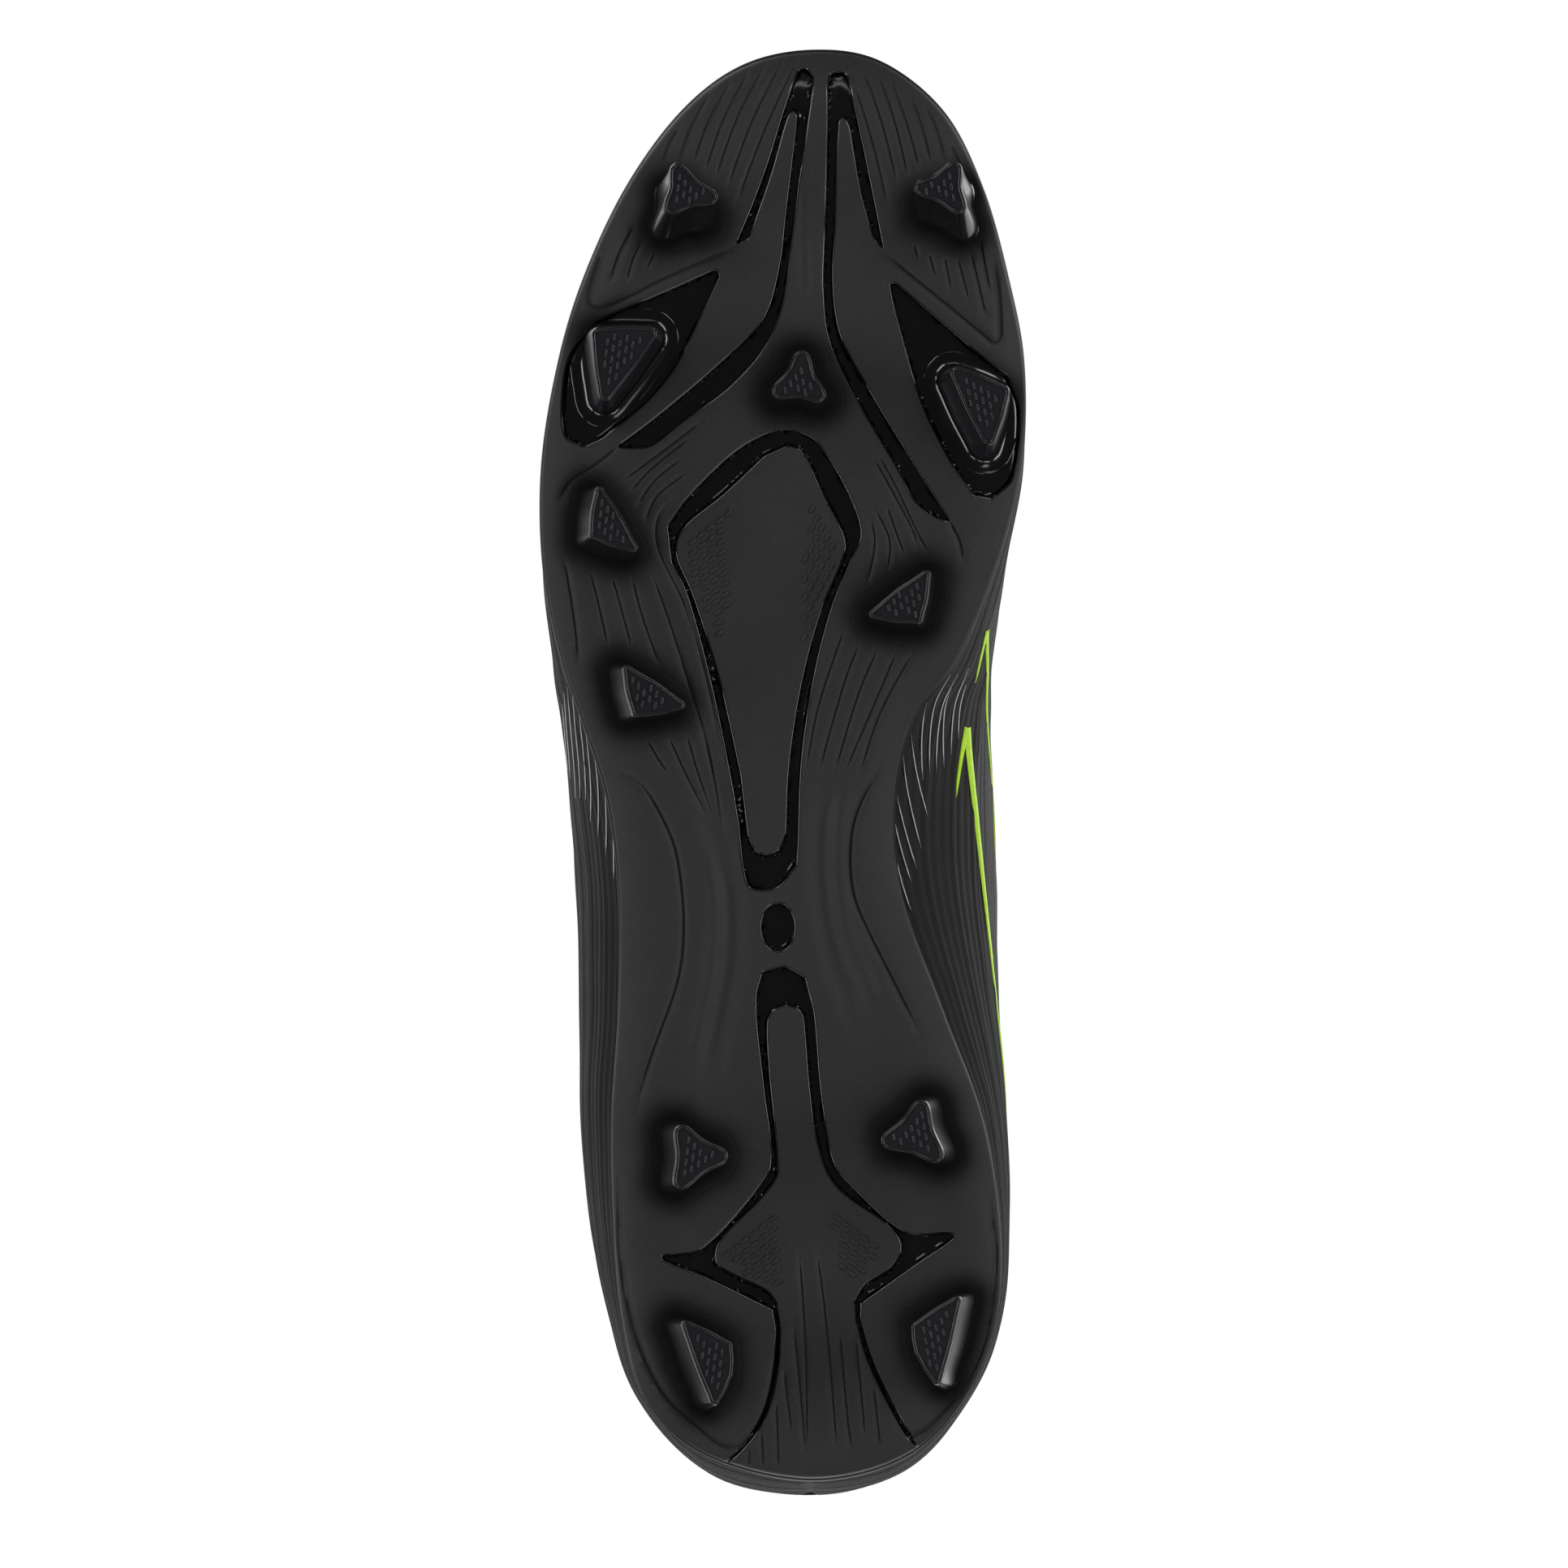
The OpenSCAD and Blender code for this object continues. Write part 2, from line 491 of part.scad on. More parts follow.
// part of the upper between two columns, two levels and two depths
module patch(i0, i1, j0, j1, d0, d1, paint) {
    color(paint) {
        between(layer(i0, i1, j0, j1, 0, d0), layer(i0, i1, j0, j1, 0, d1));
    }
}

// last column of the throat on either side of the toe
throat_end = 22;
// columns and level of the lace holes
eyelet_stations = [4.4, 5.6, 6.8, 8, 9.2, 10.5];
eyelet_level = 0.91;
function eyelet_point(k, side, d) =
    let (u = side < 0 ? eyelet_stations[k] : station_count - eyelet_stations[k])
    surf(u, eyelet_level) + inward(u, eyelet_level) * d;
function edge_point(k, side, d) =
    let (u = side < 0 ? eyelet_stations[k] : station_count - eyelet_stations[k])
    surf(u, 0.995) + inward(u, 0.995) * d;

// round bar along the line a to b
module bar(a, b, r) {
    d = b - a;
    translate(a) {
        rotate([0, acos(d[2] / norm(d)), atan2(d[1], d[0])]) {
            cylinder(r = r, h = norm(d), $fn = 10);
        }
    }
}

// all the lace holes
module eyelet_bores() {
    for (k = [0:len(eyelet_stations) - 1]) {
        for (side = [-1, 1]) {
            bar(eyelet_point(k, side, -4), eyelet_point(k, side, 8), eyelet_diameter / 2);
        }
    }
}

module upper_shell() {
    color(textile) {
        as_mesh() {
            difference() {
                between(layer(0, columns - 1, 0, top_level, 0, 0),
                    layer(0, columns - 1, 0, top_level, 0, shell_thickness), loop = true);
                eyelet_bores();
            }
        }
    }
}

module eyestay() {
    wide = top_level - 2;
    narrow = top_level - 1;
    color(matte_black) {
        as_mesh() {
            difference() {
                union() {
                    between(layer(-throat_end, throat_end, narrow, top_level, 0, -eyestay_thickness),
                        layer(-throat_end, throat_end, narrow, top_level, 0, -touch));
                    between(layer(6, throat_end, wide, narrow, 0, -eyestay_thickness),
                        layer(6, throat_end, wide, narrow, 0, -touch));
                    between(layer(-throat_end, -6, wide, narrow, 0, -eyestay_thickness),
                        layer(-throat_end, -6, wide, narrow, 0, -touch));
                }
                eyelet_bores();
            }
        }
    }
}

module back_seam_tape() {
    // starts at the widest level of the heel and runs up to the collar
    patch(half - 1, half + 1, 3, top_level, -tape_thickness - touch, -touch, matte_black);
}

module collar_binding() {
    color(matte_black) {
        between(layer(throat_end + 1, columns - throat_end - 1, top_level + 1, top_level + 2, 0,
                -0.3),
            layer(throat_end + 1, columns - throat_end - 1, top_level + 1, top_level + 2, 1,
                lining_thickness + 0.3));
    }
}

module collar_foam() {
    color(grey_cloth) {
        between(layer(throat_end + 1, columns - throat_end - 1, 3, top_level, 0,
                shell_thickness + touch),
            layer(throat_end + 1, columns - throat_end - 1, 3, top_level, 1, -touch));
    }
}

module heel_counter() {
    patch(half - 11, half + 11, 0, 3, shell_thickness + touch,
        shell_thickness + touch + stiffener_thickness, grey_cloth);
}

module toe_puff() {
    patch(-8, 8, 0, 3, shell_thickness + touch, shell_thickness + touch + stiffener_thickness,
        grey_cloth);
}

module collar_lining() {
    color(textile) {
        between(layer(throat_end, columns - throat_end, 0, top_level, 1, 0),
            layer(throat_end, columns - throat_end, 0, top_level, 1, lining_thickness));
    }
}

module forefoot_lining() {
    color(textile) {
        as_mesh() {
            difference() {
                between(layer(-throat_end, throat_end, 0, top_level, 1, 0),
                    layer(-throat_end, throat_end, 0, top_level, 1, lining_thickness));
                eyelet_bores();
            }
        }
    }
}

// half size of the shank and its place under the waist
shank_half = [11, 46];
shank_centre = [-4 * kx, 28 * ky];

// plan of the shank grown by g
module shank_plan(g) {
    translate([shank_centre[0], shank_centre[1], -5]) {
        linear_extrude(height = 70) {
            square([2 * (shank_half[0] + g), 2 * (shank_half[1] + g)], center = true);
        }
    }
}

module strobel_board() {
    color(grey_cloth) {
        as_mesh() {
            difference() {
                sole_sheet(board_inset, sole_thickness + touch,
                    sole_thickness + touch + strobel_thickness);
                intersection() {
                    sole_sheet(board_inset, sole_thickness - 1,
                        sole_thickness + touch + shank_thickness + touch);
                    shank_plan(0.2);
                }
            }
        }
    }
}

module shank() {
    color(gloss_black) {
        as_mesh() {
            intersection() {
                sole_sheet(board_inset, sole_thickness + touch,
                    sole_thickness + touch + shank_thickness);
                shank_plan(0);
            }
        }
    }
}

// heights of the loose insole
insole_low = sole_thickness + strobel_thickness + 3 * touch;

module insole_foam() {
    color(grey_cloth) {
        sole_sheet(insole_inset, insole_low, insole_low + insole_foam_thickness);
    }
}

module insole_cover() {
    color(textile) {
        sole_sheet(insole_inset, insole_low + insole_foam_thickness + touch,
            insole_low + insole_foam_thickness + touch + insole_cover_thickness);
    }
}

// tongue: follows the instep under the lace
tongue_front = -46 * ky;
tongue_back = 48 * ky;
tongue_steps = 12;
tongue_sides = 8;
// room between the lining and the tongue that the lace needs, wider on a higher boot
tongue_room = 2.3 * kz;
tongue_depth = stiff_depth + lining_thickness + lace_thickness + tongue_room;
// height of the instep along the middle
function instep(y) =
    let (w = y / ky)
    lift(90.2 + 0.43 * w + 0.0006 * w * w + 0.009 * pow(max(0, w - 20), 2));
function tongue_half_width(y) =
    kx * lookup(y / ky, [[-46, 18], [-25, 21], [0, 21], [12, 18.5], [24, 15], [36, 16.5],
        [44, 15.5], [48, 12.5]]);
function tongue_grid(d) =
    [for (j = [0:tongue_sides])
        [for (i = [0:tongue_steps])
            let (y = tongue_front + (tongue_back - tongue_front) * i / tongue_steps,
                x = tongue_half_width(y) * (1 - 2 * j / tongue_sides))
            [x + 1 * kx, y, instep(y) - 0.0165 * max(x * x, 121) * kz / kx - d]]];

// layer of the tongue between two depths
module tongue_layer(d0, d1, paint) {
    color(paint) {
        between(tongue_grid(d1), tongue_grid(d0));
    }
}

// flat lace along points; the first few points and the last few lie bunched in a hole
module strand(path, side, head, tail) {
    n = len(path);
    rings = [for (i = [0:n - 1])
        let (t = unit(path[min(i + 1, n - 1)] - path[max(i - 1, 0)]),
            s = unit(side - t * (side * t)), h = cross(s, t),
            w = i < head || i > n - 1 - tail ? 0.7 * eyelet_diameter : lace_width)
        [for (a = [0:60:300]) path[i] + s * cos(a) * w / 2 + h * sin(a) * lace_thickness / 2]];
    m = 6;
    faces = concat([for (i = [0:n - 2]) for (j = [0:m - 1])
            let (p = i * m + j, q = i * m + (j + 1) % m)
            each [[p, q, q + m], [p, q + m, p + m]]],
        [[for (j = [m - 1:-1:0]) j], [for (j = [0:m - 1]) (n - 1) * m + j]]);
    polyhedron(points = [for (r = rings) for (p = r) p],
        faces = faces, convexity = 4);
}

// depth of the lace above and below the layers at the throat
lace_over = -eyestay_thickness - lace_thickness / 2 - 0.1;
lace_under = stiff_depth + lining_thickness + lace_thickness / 2 + 0.15;
// how far the lace in a hole reaches past the lace below it
lace_overlap = 0.35;
// crossing from hole k on one side to hole k + 1 on the other side
module crossing(k, side) {
    a = edge_point(k, side, lace_over);
    b = edge_point(k + 1, -side, lace_under);
    h = side < 0 ? 0.95 : -0.95;
    c = (a + b) / 2 + [0, 0, h * lace_thickness];
    across = cross(unit(b - a), [0, 0, 1]);
    start = [eyelet_point(k, side, lace_under + lace_overlap), eyelet_point(k, side, 0),
        eyelet_point(k, side, lace_over) * 0.85 + a * 0.15];
    strand(concat(start, [a, a * 0.55 + c * 0.45, c, c * 0.5 + b * 0.5, b,
        eyelet_point(k + 1, -side, lace_under)]), across, len(start), 1);
}

module lace() {
    last = len(eyelet_stations) - 1;
    color(matte_black) {
        as_mesh() {
            union() {
                for (k = [0:last - 1]) {
                    crossing(k, -1);
                    crossing(k, 1);
                }
                // straight bar under the front holes
                strand([eyelet_point(0, -1, lace_under), edge_point(0, -1, lace_under),
                    edge_point(0, 1, lace_under), eyelet_point(0, 1, lace_under)], [0, 1, 0], 1, 1);
                // ends, tucked in under the eyestay
                for (side = [-1, 1]) {
                    strand([eyelet_point(last, side, lace_under + lace_overlap),
                        eyelet_point(last, side, 0),
                        eyelet_point(last, side, lace_over) * 0.85
                            + edge_point(last, side, lace_over) * 0.15,
                        edge_point(last, side, lace_over),
                        edge_point(last, side, lace_over * 0.3) + [-side * 2.2, 0, 0],
                        edge_point(last, side, lace_under * 0.8) + [-side * 2, 0, 0]], [0, 1, 0],
                        3, 0);
                }
            }
        }
    }
}

outsole_plate();
outsole_skin();
island(kite_inner);  // forefoot_island
island(heel_plug);  // heel_island
stud_body(0);  // stud_toe_outer
stud_body(1);  // stud_toe_inner
stud_body(2);  // stud_centre
stud_body(3);  // stud_ball_outer
stud_body(4);  // stud_ball_inner
stud_body(5);  // stud_mid_outer
stud_body(6);  // stud_mid_inner
stud_body(7);  // stud_rear_outer
stud_body(8);  // stud_heel_front_outer
stud_body(9);  // stud_heel_front_inner
stud_body(10);  // stud_heel_rear_outer
stud_body(11);  // stud_heel_rear_inner
stud_tip(0);  // tip_toe_outer
stud_tip(1);  // tip_toe_inner
stud_tip(2);  // tip_centre
stud_tip(3);  // tip_ball_outer
stud_tip(4);  // tip_ball_inner
stud_tip(5);  // tip_mid_outer
stud_tip(6);  // tip_mid_inner
stud_tip(7);  // tip_rear_outer
stud_tip(8);  // tip_heel_front_outer
stud_tip(9);  // tip_heel_front_inner
stud_tip(10);  // tip_heel_rear_outer
stud_tip(11);  // tip_heel_rear_inner
upper_shell();
eyestay();
back_seam_tape();
collar_binding();
collar_foam();
heel_counter();
toe_puff();
collar_lining();
forefoot_lining();
strobel_board();
shank();
insole_foam();
insole_cover();
union() {  // tongue_shell
    tongue_layer(tongue_depth, tongue_depth + tongue_shell_thickness, matte_black);
}
union() {  // tongue_pad
    tongue_layer(tongue_depth + tongue_shell_thickness + touch,
        tongue_depth + tongue_shell_thickness + touch + tongue_pad_thickness, textile);
}
lace();
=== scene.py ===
import math

import bpy
import numpy as np
from mathutils import Matrix, Vector
from mathutils.geometry import delaunay_2d_cdt

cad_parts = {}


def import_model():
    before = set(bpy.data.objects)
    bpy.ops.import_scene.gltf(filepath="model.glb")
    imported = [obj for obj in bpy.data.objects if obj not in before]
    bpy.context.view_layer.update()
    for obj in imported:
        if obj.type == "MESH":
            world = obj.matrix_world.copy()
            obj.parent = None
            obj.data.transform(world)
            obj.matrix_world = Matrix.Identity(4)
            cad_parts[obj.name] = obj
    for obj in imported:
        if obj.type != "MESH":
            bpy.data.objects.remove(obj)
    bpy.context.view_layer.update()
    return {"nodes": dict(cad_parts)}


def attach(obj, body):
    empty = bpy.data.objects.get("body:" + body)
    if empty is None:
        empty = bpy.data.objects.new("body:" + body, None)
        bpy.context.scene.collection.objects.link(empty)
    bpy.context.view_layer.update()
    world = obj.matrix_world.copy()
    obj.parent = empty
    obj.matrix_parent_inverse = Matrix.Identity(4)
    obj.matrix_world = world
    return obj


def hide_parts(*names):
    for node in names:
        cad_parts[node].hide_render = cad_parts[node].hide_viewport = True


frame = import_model()
nodes = frame["nodes"]

FULL_TURN = 2 * math.pi
# Lengths below are in mm; new_piece() turns them into metres.
MM = 0.001
# sole: height of its ground side, thickness of the matte skin and of the whole plate, play
# between parts, how far the plate stands out past the foot, and width of the rolled rim
STUD_LENGTH = 11.5
SKIN = 1.6
SOLE = 4.0
TOUCH = 0.05
FEATHER = 0.6
ROLL = 9.0
# channels and rim: radius of their rounded edges, depth of the glossy floors and how much
# deeper their middle is, and the deepest that the relief may cut into the skin
CHANNEL_ROUND = 0.62
RIM_ROUND = 0.9
CHANNEL_DEPTH = 1.1
CHANNEL_BELLY = 0.3
RELIEF_LIMIT = 1.45
# studs: height of the tip, flare of the body, and the fillet that runs out into the sole
TIP = 2.5
ROOT_GROW = 1.5
BODY_FLARE = 0.95
FILLET = 2.5
FILLET_IN_POCKET = 2.9
FILLET_HIGH = 2.2
# upper: thickness of the shell, depth of the outside of the lining, thickness of lining,
# padding and eyestay, height of the ribs, and depth of the groove at the back
SHELL = 1.4
STIFF = SHELL + TOUCH + 0.8 + TOUCH
LINING = 0.8
PADDING = 4.0
EYESTAY = 1.0
RIB_HEIGHT = 0.36
BACK_SEAM = 0.25
LACE_WIDTH = 5.5
LACE_THICK = 1.6
EYELET = 4.4
# places round the collar in stations, and the low end of the tape as a level
EYESTAY_END = 11.0
COLLAR_START, COLLAR_END = 11.5, 24.5
TAPE_START, TAPE_END = 17.5, 18.5
TAPE_LOW = 0.35
# tongue: front and back edge, thickness of its cover and pad
TONGUE_FRONT, TONGUE_BACK = -46, 48
TONGUE_COVER = 1.2
TONGUE_PAD = 3.4
# insole: foam bed and cloth
BED = 3.5
BED_CLOTH = 0.7

# stations round the foot: sole edge x y, side x y z, shoulder x y z, top x y z
STATIONS = np.array([
    [5.6, -142, 5, -129, 47.5, 3.5, -88, 59, 1.5, -48.5, 70.5],
    [-8, -139, -5.8, -126.5, 47, -4.5, -86, 58.7, -2, -48, 70.5],
    [-19.8, -130, -16, -119, 46.3, -12.5, -81, 58.2, -5.3, -46.5, 70.8],
    [-30.6, -115, -25, -106, 45.3, -18.8, -72.5, 58, -8, -43, 71.8],
    [-38.9, -97, -33.5, -90.5, 45, -23.3, -61.5, 59.8, -9.8, -37, 73.8],
    [-43.9, -80, -39, -74, 45, -26, -50, 62, -10.6, -30, 76.4],
    [-47, -60, -42.8, -55, 45.5, -27.5, -37.5, 65.6, -11, -22, 79.5],
    [-46.6, -40, -43.6, -36, 46.5, -28.3, -25, 69, -11.3, -13.5, 82.8],
    [-42.9, -22, -43.2, -19, 47.5, -28.8, -13, 72.3, -11.6, -5, 86.2],
    [-39.1, -11, -42.6, -8, 48, -29.3, -3, 75, -12, 4, 90],
    [-34, 5, -41.8, 7, 48, -30, 9.5, 77.5, -12.8, 13, 93.6],
    [-31.8, 24, -40.9, 24.5, 47, -31.3, 24, 78, -16, 25.5, 96.3],
    [-32, 47, -40.2, 45.5, 43.5, -32.3, 42.5, 72.5, -23.5, 42, 88.5],
    [-33.3, 68, -39.7, 66, 41, -32, 62, 65.8, -26.8, 60, 80.5],
    [-32.8, 90, -37.8, 88, 39.5, -31.2, 83, 61.8, -26.8, 79.5, 77],
    [-31, 108.5, -34, 106.5, 39.5, -28.5, 101, 61.5, -23.8, 97, 77.8],
    [-26.5, 123.5, -28.2, 122.5, 41.5, -23.3, 116.5, 64, -19, 113, 82.8],
    [-14.8, 134, -14, 138.5, 44.5, -11.8, 131.5, 70, -9.5, 126, 90.5],
    [5, 138.8, 5.2, 143, 46, 5, 138.3, 73, 4.5, 131, 94],
    [23, 134.6, 23, 137.8, 44.5, 20.8, 130.8, 69.5, 18.3, 126, 90.5],
    [34.5, 123.5, 35.6, 123, 41.5, 31.2, 116, 64, 27.3, 113, 83],
    [41, 108.5, 42.2, 107, 39.5, 37.2, 100.5, 61.5, 31.2, 97, 78.3],
    [42, 90, 44, 88.5, 39.5, 38.8, 83, 61.8, 33, 79.5, 77.5],
    [38.5, 68, 43.6, 66, 41, 38, 62, 66.5, 32.5, 60, 81],
    [30.8, 47, 42.4, 45, 43.5, 36.3, 42, 73, 28, 42, 89],
    [22.6, 24, 41.8, 23.5, 46, 34.2, 23, 78, 19, 25.5, 96.8],
    [21.1, 5, 41.3, 5.5, 46, 31.8, 8.5, 76.3, 14.5, 13, 93.6],
    [25, -11.5, 40.8, -9.5, 46, 30.5, -4, 72.7, 13.6, 4, 90],
    [33, -22, 40.8, -20.5, 46.5, 29.8, -14, 70, 13.1, -5, 86.2],
    [40.8, -40, 41.8, -36.5, 46, 29.3, -26, 67, 12.7, -13.5, 82.8],
    [46, -60, 43.5, -55, 45.5, 28.8, -38.5, 64.3, 12.3, -22, 79.5],
    [46.6, -80, 42.8, -73.5, 45, 27.5, -51, 61.6, 11.8, -30, 76.4],
    [43.6, -97, 38.8, -90, 45, 24.8, -62, 60, 10.8, -37, 73.8],
    [38.6, -115, 33.3, -106, 45.6, 20.8, -72.5, 58.7, 9, -43, 71.8],
    [31, -130, 26.5, -119, 46.5, 16, -81, 58.4, 6.5, -46.5, 70.8],
    [18.8, -139.8, 16.3, -126.8, 47.3, 9.8, -86.3, 58.8, 4, -48, 70.5]])
COUNT = len(STATIONS)


# ---------------------------------------------------------------- the shared surfaces
def around(table, u):
    """Smooth closed curve through a table of stations."""
    u = np.asarray(u, float) % COUNT
    k = np.floor(u).astype(int)
    t = (u - k)[..., None]
    a, b, c, d = (table[(k + s) % COUNT] for s in (-1, 0, 1, 2))
    return b + 0.5 * t * ((c - a) + t * ((2 * a - 5 * b + 4 * c - d) + t * (3 * (b - c) + d - a)))


def through(points, n=9):
    """Smooth open curve through points, n steps for every span."""
    q = np.array(points, float)
    q = np.vstack([2 * q[0] - q[1], q, 2 * q[-1] - q[-2]])
    out = []
    for i in range(1, len(q) - 2):
        a, b, c, d = q[i - 1:i + 3]
        for s in range(n):
            t = s / n
            out.append(b + 0.5 * t * ((c - a) + t * ((2 * a - 5 * b + 4 * c - d)
                                                    + t * (3 * (b - c) + d - a))))
    return np.array(out + [q[-2]])


def floor_height(y):
    """Height of the sole over the ground, away from its rim."""
    toe = np.maximum(0, (-70 - y) / 72)
    back = np.maximum(0, (y - 115) / 28)
    return (STUD_LENGTH + 12 * toe ** 2.2 + 5.5 * np.exp(-((y - 25) / 38) ** 2)
            + 1.5 / (1 + np.exp(-(y - 70) / 10)) + 2 * back * back)


def sole_height(y, e):
    """Ground side of the sole at y, at the distance e inside the rim."""
    f = 1 - np.clip(e, 0, ROLL) / ROLL
    return floor_height(y) + (2.5 + 1.5 * np.maximum(0, (-y - 60) / 82)) * f * f


EDGE = STATIONS[:, 0:2]
FOOT = np.column_stack([EDGE, sole_height(EDGE[:, 1], FEATHER) + SOLE + TOUCH])
LEVELS = [FOOT, STATIONS[:, 2:5], STATIONS[:, 5:8], STATIONS[:, 8:11]]
LEVEL_AT = [0, 0.35, 0.7, 1]


def surf(u, v):
    """Outer surface of the upper."""
    u, v = np.broadcast_arrays(np.asarray(u, float), np.asarray(v, float))
    total = 0
    for i, table in enumerate(LEVELS):
        weight = 1.0
        for j, other in enumerate(LEVEL_AT):
            if j != i:
                weight = weight * (v - other) / (LEVEL_AT[i] - other)
        total = total + around(table, u) * np.asarray(weight)[..., None]
    return total


def inward(u, v):
    """Unit direction from the outer surface into the boot."""
    u, v = np.broadcast_arrays(np.asarray(u, float), np.asarray(v, float))
    n = np.cross(surf(u + 0.1, v) - surf(u - 0.1, v), surf(u, v + 0.02) - surf(u, v - 0.02))
    return n / np.linalg.norm(n, axis=-1, keepdims=True)


def skin_point(u, v, depth):
    """Point at a depth below the outer surface of the upper."""
    return surf(u, v) + inward(u, v) * np.asarray(depth, float)[..., None]


def lining_depth(u, v):
    """Depth of the outside of the lining: flat in front, padded round the collar."""
    u = np.asarray(u, float) % COUNT
    i = 2 * np.minimum(u, COUNT - u)
    weight = np.clip((i - 21) / 4, 0, 1)
    weight = weight * weight * (3 - 2 * weight)
    shape = np.interp(v, [0, 0.35, 0.42, 0.55, 0.68, 0.8, 0.9, 1, 1.035],
                      [0, 0, 0.12, 0.45, 0.85, 1, 0.9, 0.55, 0.45])
    return STIFF + PADDING * weight * shape


# ---------------------------------------------------------------- materials
def node(tree, kind, values=None, **settings):
    """New shader node with its settings, and then the values of its inputs."""
    made = tree.nodes.new("ShaderNode" + kind)
    for key, value in settings.items():
        setattr(made, key, value)
    for key, value in (values or {}).items():
        made.inputs[key].default_value = value
    return made


def link(tree, start, end):
    tree.links.new(start, end)


def bands(tree, vector, direction, distortion=0.0, detail=2.0):
    """Parallel waves across the texture coordinates."""
    wave = node(tree, "TexWave", {"Scale": 1.0, "Distortion": distortion, "Detail": detail},
                wave_type="BANDS", bands_direction=direction)
    link(tree, vector, wave.inputs["Vector"])
    return wave.outputs["Fac"]


def woven(tree, kind, place, grain, base):
    """Height and colour of a ribbed, woven or meshed cloth."""
    along = bands(tree, place.outputs["UV"], "DIAGONAL" if kind == "weave" else "X",
                  0.6 if kind == "rib" else 0.0, 1)
    cross = bands(tree, place.outputs["UV"], "Y")
    join = node(tree, "Math", operation="MULTIPLY" if kind == "mesh" else "ADD")
    link(tree, along, join.inputs[0])
    link(tree, cross, join.inputs[1])
    fuzz = node(tree, "Math", {1: 0.5}, operation="MULTIPLY_ADD")
    link(tree, grain, fuzz.inputs[0])
    link(tree, join.outputs[0], fuzz.inputs[2])
    shade = node(tree, "MapRange", {"From Max": 1.3 if kind == "mesh" else 2.2,
                                    "To Min": 0.4, "To Max": 1.45})
    link(tree, fuzz.outputs[0], shade.inputs["Value"])
    times = node(tree, "VectorMath", operation="SCALE")
    link(tree, base, times.inputs[0])
    link(tree, shade.outputs["Result"], times.inputs["Scale"])
    return fuzz.outputs[0], times.outputs["Vector"]


def material(name, color, rough, noise=900.0, spread=0.25, bump=0.00006, coat=0.0, sheen=0.0,
             kind="grain", second=None, specular=0.5, dull=False):
    """Procedural material: colour and gloss vary with noise, and kind picks the relief.

    second is a factor on the colour where the piece's own "tint" attribute is 1, and with
    dull these places also lose their gloss."""
    mat = bpy.data.materials.new(name)
    mat.use_nodes = True
    tree = mat.node_tree
    tree.nodes.clear()
    out = node(tree, "OutputMaterial")
    bsdf = node(tree, "BsdfPrincipled", {
        "Coat Weight": coat, "Coat Roughness": 0.06, "Sheen Weight": sheen,
        "Sheen Roughness": 0.45, "Specular IOR Level": specular})
    place = node(tree, "TexCoord")
    grain = node(tree, "TexNoise", {"Scale": noise, "Detail": 5})
    broad = node(tree, "TexNoise", {"Scale": 38, "Detail": 3})
    for pattern in (grain, broad):
        link(tree, place.outputs["Object"], pattern.inputs["Vector"])
    tone = node(tree, "ValToRGB")
    for stop, at, share in zip(tone.color_ramp.elements, (0.3, 0.72), (1 - spread, 1 + spread)):
        stop.position = at
        stop.color = [c * share for c in color] + [1]
    link(tree, grain.outputs["Fac"], tone.inputs["Fac"])
    gloss = node(tree, "MapRange", {"To Min": rough * 0.85, "To Max": min(1, rough * 1.2)})
    link(tree, broad.outputs["Fac"], gloss.inputs["Value"])
    link(tree, gloss.outputs["Result"], bsdf.inputs["Roughness"])
    height, base = grain.outputs["Fac"], tone.outputs["Color"]
    if kind != "grain":
        height, base = woven(tree, kind, place, height, base)
    surface = bsdf.outputs["BSDF"]
    # the tint attribute marks painted shade round the studs on the sole, and grey thread with painted
    # highlight on the textile; with dull the painted shade also loses its gloss
    if second is not None:
        tint = node(tree, "Attribute", attribute_name="tint")
        bright = node(tree, "VectorMath", {"Scale": second}, operation="SCALE")
        link(tree, base, bright.inputs[0])
        if dull:
            flat = node(tree, "BsdfDiffuse")
            link(tree, bright.outputs["Vector"], flat.inputs["Color"])
            blend = node(tree, "MixShader")
            link(tree, tint.outputs["Fac"], blend.inputs["Fac"])
            link(tree, surface, blend.inputs[1])
            link(tree, flat.outputs["BSDF"], blend.inputs[2])
            surface = blend.outputs["Shader"]
        else:
            mix = node(tree, "Mix", data_type="RGBA")
            link(tree, tint.outputs["Fac"], mix.inputs["Factor"])
            link(tree, base, mix.inputs["A"])
            link(tree, bright.outputs["Vector"], mix.inputs["B"])
            base = mix.outputs["Result"]
    link(tree, base, bsdf.inputs["Base Color"])
    bumps = node(tree, "Bump", {"Strength": 0.8, "Distance": bump})
    link(tree, height, bumps.inputs["Height"])
    link(tree, bumps.outputs["Normal"], bsdf.inputs["Normal"])
    link(tree, surface, out.inputs["Surface"])
    return mat


# where its tint is 1, round the studs, the matte sole gets painted shade: darker and without gloss
MATTE = material("sole_matte", (0.0225, 0.02, 0.02), 0.62, noise=1500, spread=0.12, bump=0.00002,
                 specular=0.35, second=0.2, dull=True)
GLOSS = material("sole_gloss", (0.0026, 0.0026, 0.003), 0.15, noise=300, spread=0.3,
                 bump=0.000002, coat=0.15, specular=0.42)
BEVEL = material("sole_bevel", (0.004, 0.004, 0.0045), 0.19, noise=300, spread=0.2,
                 bump=0.000002)
SIDE = material("sole_side", (0.006, 0.006, 0.0065), 0.6, noise=700, spread=0.2,
                bump=0.00001, specular=0.3)
STUD = material("stud_gloss", (0.0055, 0.0055, 0.0063), 0.22, noise=500, spread=0.2,
                bump=0.000006, coat=0.15)
TIP_FACE = material("stud_tip", (0.0062, 0.0068, 0.0095), 0.36, noise=1200, spread=0.2,
                    bump=0.00001)
